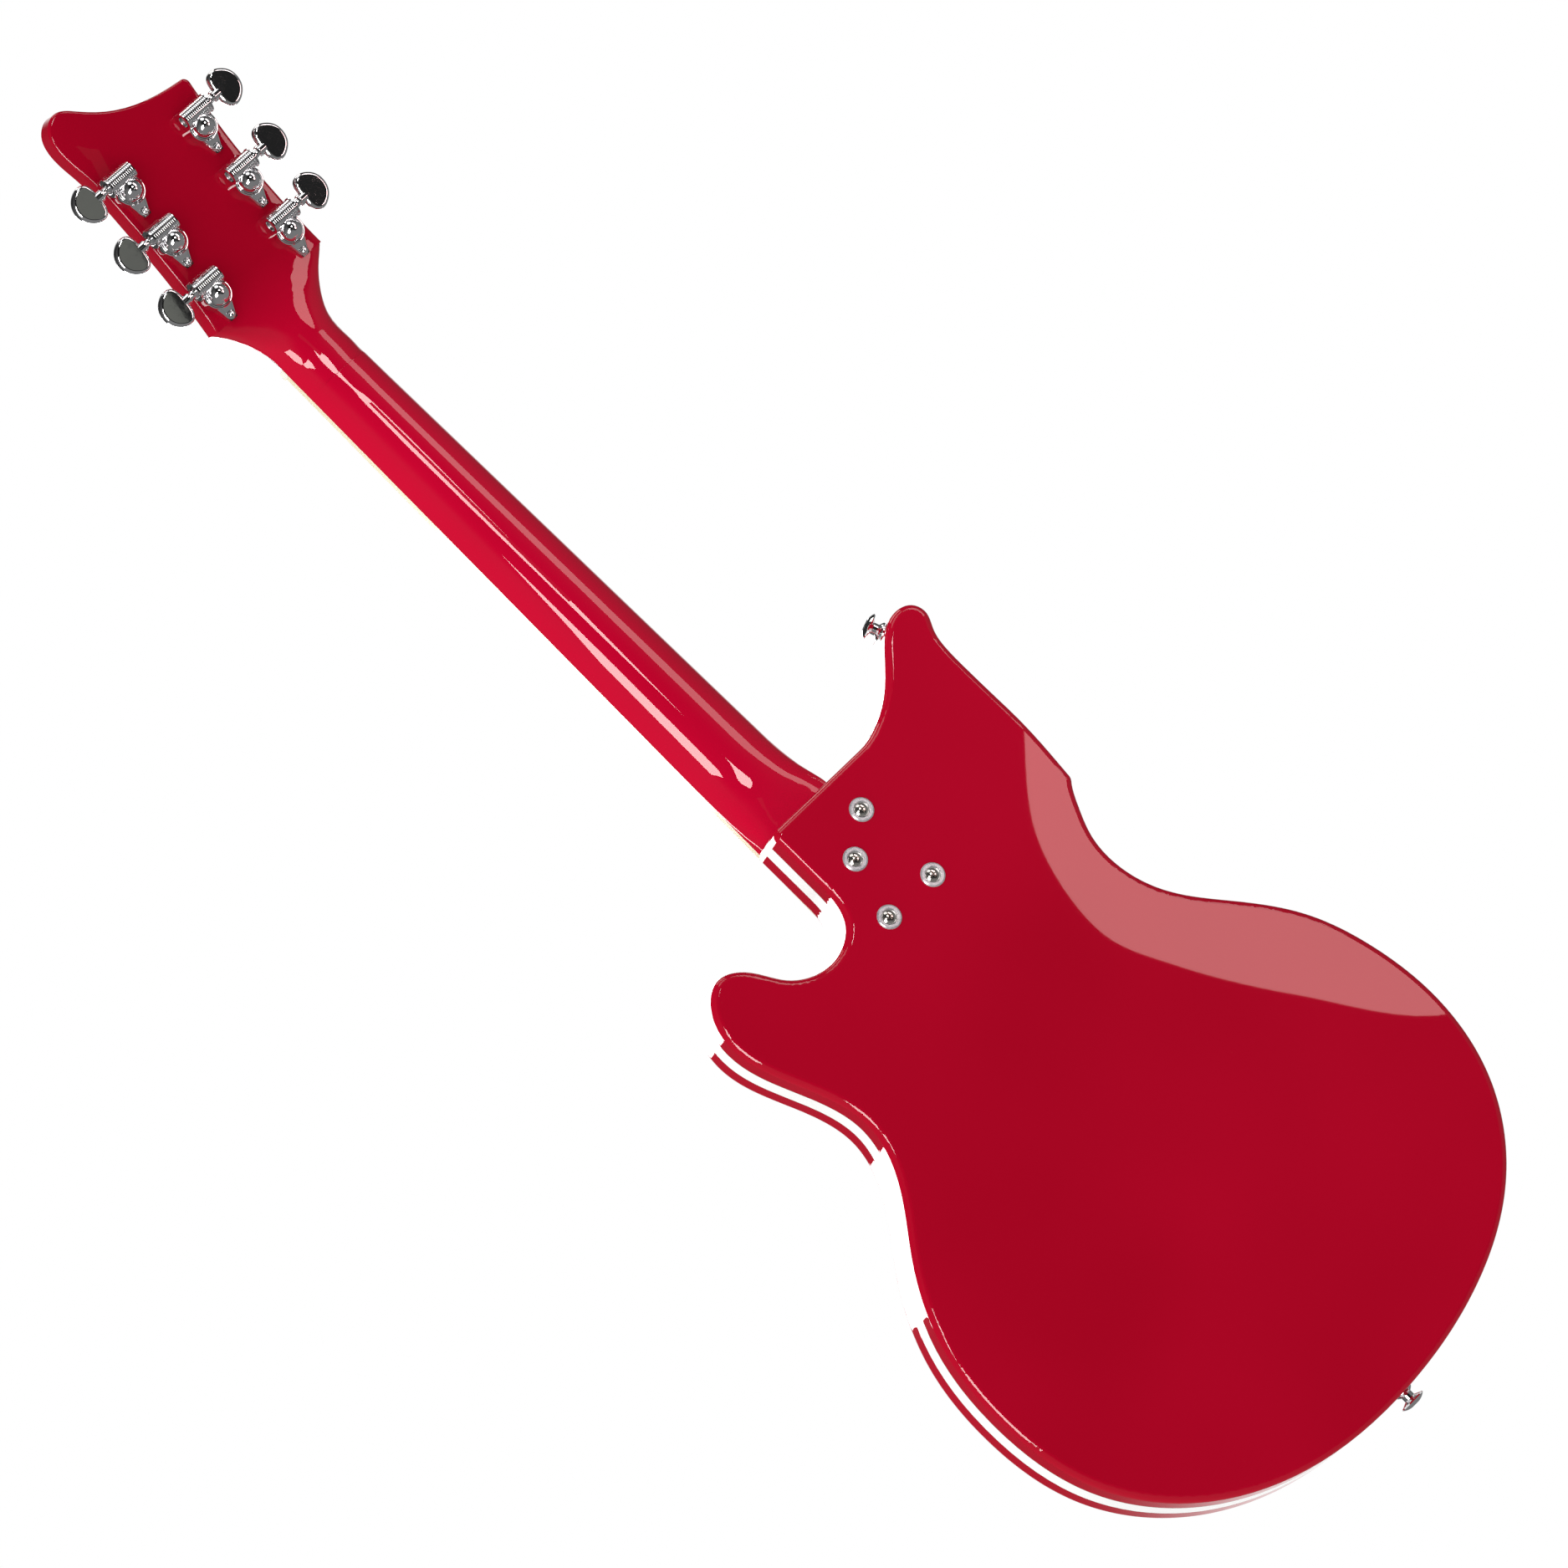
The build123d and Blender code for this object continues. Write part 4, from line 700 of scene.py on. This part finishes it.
chrome = Finish("chrome", Metallic=1.0)
film = chrome.noise(55, 4.0)
chrome.colour(chrome.ramp(film, (0.3, (0.80, 0.80, 0.82)), (0.7, (0.90, 0.90, 0.91))))
smudge = chrome.ramp(chrome.noise(140, 5.0, (1, 1, 1), 0.6), (0.55, (0, 0, 0)), (0.8, (1, 1, 1)))
chrome.rough(chrome.between(smudge, 0.035, 0.13))
chrome.bump(chrome.noise(420, 2.0), 0.03, 0.0001)
paint_all("chrome", chrome)

steel = Finish("steel", Metallic=1.0)
steel.colour(steel.ramp(steel.noise(90, 4.0), (0.3, (0.42, 0.42, 0.43)), (0.7, (0.58, 0.58, 0.58))))
steel.rough(steel.between(steel.noise(800, 2.0, (1, 1, 0.15)), 0.24, 0.46))
steel.bump(steel.noise(1400, 1.0, (1, 1, 0.1)), 0.15, 0.00004)
paint_all("steel", steel)


# ---------------------------------------------------------------- the tuners
# Six sealed tuners are held by a bushing and a screw at the tip of a pressed tab. The gear sits
# under a domed cap in a raised ring, and the worm in a ribbed barrel that is open at its inner end.

joints = {joint["name"]: joint for joint in frame["joints"]}
tuner_numbers = range(1, 7)


def tuner_seats(number):
    """Two ways to place a point on a tuner: by how far it lies outwards, up the head and out of the
    back from the post's foot, and by how far up, out of the back and outwards from the worm."""
    post, worm = joints[f"post_{number}_turn"], joints[f"button_{number}_turn"]
    foot, middle = Vector(post["pos_m"]), Vector(worm["pos_m"])
    back = -Vector(post["axis"])
    outward = Vector((math.copysign(1, foot.x), 0, 0))
    up = Vector((0, -back.z, back.y))

    def on_back(a, b, height):
        return foot + outward * a + up * b + back * height

    def on_worm(b, height, a):
        return middle + outward * a + up * b + back * height

    return on_back, on_worm


tab_reach = 0.0140


def tab_outline(inset, height, slope):
    """The outline of a tab that narrows from the cap to a rounded tip, at a height that falls towards
    the tip."""
    tip, root, start = 0.0030 - inset, 0.0066 - inset, -0.0035
    corners = [(root, start)]
    for step in range(13):
        angle = math.radians(-8 - 164 * step / 12)
        corners.append((tip * math.cos(angle), -tab_reach + tip * math.sin(angle)))
    corners.append((-root, start))
    return [(a, b, height + slope * (b + tab_reach)) for a, b in corners]


def ringed(centre_radius, height, thick):
    """The closed profile of a round ring."""
    angles = [math.pi * step / 5 for step in range(10)]
    ring = []
    for angle in angles:
        ring.append((centre_radius + thick * math.cos(angle), height + thick * math.sin(angle)))
    return ring


# Profiles list (radius, height). The tab's layers list (inset, height, slope) from the wood up.
cap_ring = ringed(0.0072, 0.0074, 0.0006)
barrel_lid = [(0, 0.0104), (0.0060, 0.0104), (0.0060, 0.0098), (0, 0.0098)]
tab_layers = [
    (0.0, 0.0, 0.0), (0.0, 0.0024, 0.30), (0.0005, 0.0031, 0.32), (0.0012, 0.0031, 0.32),
    (0.0016, 0.0027, 0.30),
]
screw_head = [
    (0, 0.0030), (0.0021, 0.0030), (0.0023, 0.0036), (0.0019, 0.0044), (0.0010, 0.0049), (0, 0.0050),
]
collar_profile = [
    (0, 0.0100), (0.0033, 0.0100), (0.0036, 0.0104), (0.0036, 0.0110), (0.0030, 0.0115),
    (0.0026, 0.0119), (0.0025, 0.0140), (0.0027, 0.0146), (0.0034, 0.0149), (0.0036, 0.0156),
    (0.0034, 0.0163), (0.0026, 0.0168), (0.0030, 0.0172), (0.0030, 0.0178), (0, 0.0178),
]
caps, tabs, tab_screws = [], [], []
for number in tuner_numbers:
    on_back, on_worm = tuner_seats(number)
    caps.append(turned_shape(cap_ring, on_back, 56))
    caps.append(turned_shape(barrel_lid, on_worm))
    tabs.append(pillar([tab_outline(*layer) for layer in tab_layers], on_back))
    tab_screws.append(turned_shape(screw_head, lambda x, y, h: on_back(x, y - tab_reach, h), 24))
    collar = made_mesh(f"shaft_collars_{number}", [turned_shape(collar_profile, on_worm, 32)])
    place_piece(f"shaft_collars_{number}", collar, chrome, f"button_{number}", "chrome")
place_piece("cap_rings", made_mesh("cap_rings", caps), chrome, "guitar", "chrome")
place_piece("tuner_tabs", made_mesh("tuner_tabs", tabs, 20), chrome, "guitar", "chrome")
place_piece("tab_screws", made_mesh("tab_screws", tab_screws), chrome, "guitar", "chrome", "tuner_screws")


def rib_tree(add, given):
    """Rings of one wire, set out along a worm."""
    line = add("GeometryNodeMeshLine", {"Count": given["Ribs"], "Offset": (0, 0, 0)})
    index = add("GeometryNodeInputIndex").outputs[0]
    along = add("ShaderNodeMath", {0: index, 1: given["Pitch"]}, operation="MULTIPLY")
    offset = add("ShaderNodeCombineXYZ", {"X": along.outputs[0]})
    places = {"Geometry": line.outputs["Mesh"], "Position": offset.outputs[0]}
    spaced = add("GeometryNodeSetPosition", places)
    ribs = add(
        "GeometryNodeInstanceOnPoints",
        {"Points": spaced.outputs["Geometry"], "Instance": given["Geometry"]},
    )
    real = add("GeometryNodeRealizeInstances", {"Geometry": ribs.outputs["Instances"]})
    return real.outputs["Geometry"]


# The ribs reach further from the worm's middle at its outer end than at its inner end.
rib_inner, rib_outer = 0.0068, 0.0086
rib_radius, rib_thick = 0.00545, 0.00022
rib_inputs = {"Ribs": 13, "Pitch": 0.00128, "Material": chrome.material}
rib = turned_shape(ringed(rib_radius, 0, rib_thick), lambda x, y, h: Vector((h, x, y)), 40)
ribs = bpy.data.meshes.new("barrel_ribs")
all_ribs = bmesh.new()
for number in tuner_numbers:
    _, on_worm = tuner_seats(number)
    middle = on_worm(0, 0, 0)
    start = -rib_inner if on_worm(0, 0, 1).x > 0 else -rib_outer
    row = grown("barrel_ribs", made_mesh("rib", [rib]), rib_inputs, rib_tree)
    up = (on_worm(1, 0, 0) - middle).normalized()
    turn = Vector((0, 1, 0)).rotation_difference(up).to_matrix().to_4x4()
    row.transform(Matrix.Translation(middle + Vector((start, 0, 0))) @ turn)
    all_ribs.from_mesh(row)
all_ribs.to_mesh(ribs)
all_ribs.free()
ribs.shade_smooth()
place_piece("barrel_ribs", ribs, chrome, "guitar", "chrome")


# ------------------------------------------------- neck screws and strings
# Four bright screws in dull dished washers hold the neck, and the six strings are plain bright
# steel, worn a little.

washer = Finish("washer_nickel", Metallic=0.55)
washer.colour(washer.ramp(washer.noise(150, 4.0), (0.3, (0.52, 0.52, 0.55)), (0.7, (0.64, 0.64, 0.67))))
washer.rough(washer.between(washer.noise(300, 3.0), 0.22, 0.36))
washer.bump(washer.noise(500, 2.0), 0.03, 0.00005)
paint("neck_screw_ferrules", washer)

screw_nickel = Finish("screw_nickel", Metallic=1.0)
wear = screw_nickel.noise(150, 4.0)
screw_nickel.colour(screw_nickel.ramp(wear, (0.3, (0.66, 0.63, 0.58)), (0.7, (0.78, 0.75, 0.70))))
screw_nickel.rough(screw_nickel.between(screw_nickel.noise(300, 3.0), 0.08, 0.18))
screw_nickel.bump(screw_nickel.noise(500, 2.0), 0.03, 0.00005)
paint("neck_screws", screw_nickel)

string_steel = Finish("string_wire", Metallic=1.0)
tarnish = string_steel.noise(300, 2.0)
string_steel.colour(string_steel.ramp(tarnish, (0.3, (0.52, 0.51, 0.50)), (0.7, (0.68, 0.67, 0.65))))
string_steel.rough(string_steel.between(string_steel.noise(600, 2.0), 0.18, 0.34))
paint("strings", string_steel)


# ------------------------------------------------------- pickguard and pickups
# A three-ply plate with a dark middle ply that shows at its edge, and two covered pickups.

guard_low, guard_high = (corner.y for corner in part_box("pickguard"))
guard = Finish("white_guard", Coat_Weight=0.7, Coat_Roughness=0.03)
third = (guard_high - guard_low) / 3
depth = guard.axis("Y")
inner = guard.math("GREATER_THAN", depth, guard_low + third)
outer = guard.math("LESS_THAN", depth, guard_high - third)
white = guard.ramp(guard.noise(14, 3.0), (0.3, (0.80, 0.79, 0.75)), (0.7, (0.88, 0.87, 0.84)))
guard.colour(guard.mix(guard.math("MULTIPLY", inner, outer), white, (0.02, 0.02, 0.02)))
scratch = guard.ramp(guard.noise(420, 2.0, (0.08, 1, 1)), (0.66, (0, 0, 0)), (0.74, (1, 1, 1)))
guard.rough(guard.between(scratch, 0.22, 0.42))
guard.bump(scratch, -0.06, 0.0001)
paint("pickguard", guard)

cover = Finish("pickup_cover", Metallic=1.0)
cover.colour(cover.ramp(cover.noise(60, 4.0), (0.3, (0.74, 0.74, 0.76)), (0.7, (0.86, 0.86, 0.87))))
cover.rough(cover.between(cover.noise(500, 2.0, (1, 1, 0.12)), 0.07, 0.20))
cover.bump(cover.noise(900, 1.0, (1, 1, 0.1)), 0.05, 0.00005)
paint("neck_pickup", cover)
paint("bridge_pickup", cover)

black = Finish("black_knob", Coat_Weight=0.6, Coat_Roughness=0.06)
black.colour(black.ramp(black.noise(70, 4.0), (0.3, (0.012, 0.012, 0.013)), (0.7, (0.032, 0.031, 0.030))))
black.rough(black.between(black.noise(260, 3.0), 0.22, 0.44))
black.bump(black.noise(700, 2.0), 0.08, 0.0001)
paint("volume_knob", black)
paint("tone_knob", black)


# ------------------------------------------------------------------ the knobs
# Each tapered knob is fluted to grip, and a white line let into its top shows how far it is turned.
# At rest both are turned fully clockwise, so the lines point down and towards treble.


def flute_tree(add, given):
    """Flutes round a circle, each turned to face out."""
    ring = add("GeometryNodeMeshCircle", {"Vertices": given["Flutes"], "Radius": given["Radius"]})
    step = add("ShaderNodeMath", {0: 2 * math.pi, 1: given["Flutes"]}, operation="DIVIDE")
    number = add("GeometryNodeInputIndex").outputs[0]
    turn = add("ShaderNodeMath", {0: number, 1: step.outputs[0]}, operation="MULTIPLY")
    facing = add("ShaderNodeCombineXYZ", {"Z": turn.outputs[0]})
    seats = {"Points": ring.outputs["Mesh"], "Instance": given["Geometry"]}
    seats["Rotation"] = facing.outputs[0]
    flutes = add("GeometryNodeInstanceOnPoints", seats)
    real = add("GeometryNodeRealizeInstances", {"Geometry": flutes.outputs["Instances"]})
    return real.outputs["Geometry"]


def stadium(start, end, half_width, height):
    """A long outline with round ends, as (x, y, height) corners."""
    turns = [math.radians(-90 + 22.5 * step) for step in range(9)]
    far = [(end + half_width * math.cos(t), half_width * math.sin(t), height) for t in turns]
    near = [(start - half_width * math.cos(t), -half_width * math.sin(t), height) for t in turns]
    return far + near


line_white = Finish("pointer_white", Coat_Weight=0.4)
grime = line_white.noise(300, 3.0)
line_white.colour(line_white.ramp(grime, (0.3, (0.72, 0.71, 0.68)), (0.7, (0.84, 0.83, 0.80))))
line_white.rough(line_white.between(line_white.noise(700, 3.0), 0.26, 0.44))
line_white.bump(line_white.noise(1500, 2.0), 0.08, 0.00005)

knob_slope = math.tan(math.radians(4))
flute_half, flute_radius, flute_tip, flute_sink = 0.0054, 0.00045, 0.0004, 0.0001
flute_profile = [
    (0, -flute_half), (flute_radius, flute_tip - flute_half), (flute_radius, flute_half - flute_tip),
    (0, flute_half),
]
line_start, line_end = 0.0015, 0.0078
line_layers = ((0.0006, -0.0003), (0.0006, 0.0001), (0.0004, 0.0002))
line_angle = math.radians(150)  # clockwise from straight up, seen from the front
pointing = Vector((math.sin(line_angle), 0, math.cos(line_angle)))
crossing = Vector((-pointing.z, 0, pointing.x))
for control in ("volume", "tone"):
    knob_low, knob_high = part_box(f"{control}_knob")
    middle = (knob_low + knob_high) / 2
    radius = (knob_high.x - knob_low.x) / 2 - knob_slope * (knob_high.y - middle.y)
    flute = turned_shape(flute_profile, lambda x, y, h: Vector((x - knob_slope * h, y, h)), 12)
    flute_inputs = {"Flutes": 32, "Radius": radius - flute_sink, "Material": black.material}
    flutes = grown(f"{control}_flutes", made_mesh("flute", [flute]), flute_inputs, flute_tree)
    flutes.transform(Matrix.Translation(middle) @ Matrix.Rotation(math.pi / 2, 4, "X"))
    place_piece(f"{control}_flutes", flutes, black, f"{control}_control", "black_knob")
    outlines = [stadium(line_start, line_end, half, tall) for half, tall in line_layers]
    top = Vector((middle.x, knob_low.y, middle.z))
    line = pillar(outlines, lambda x, y, h: top + pointing * x + crossing * y - Vector((0, h, 0)))
    pointer = made_mesh("pointer", [line])
    place_piece(f"{control}_pointer", pointer, line_white, f"{control}_control", "white_guard")
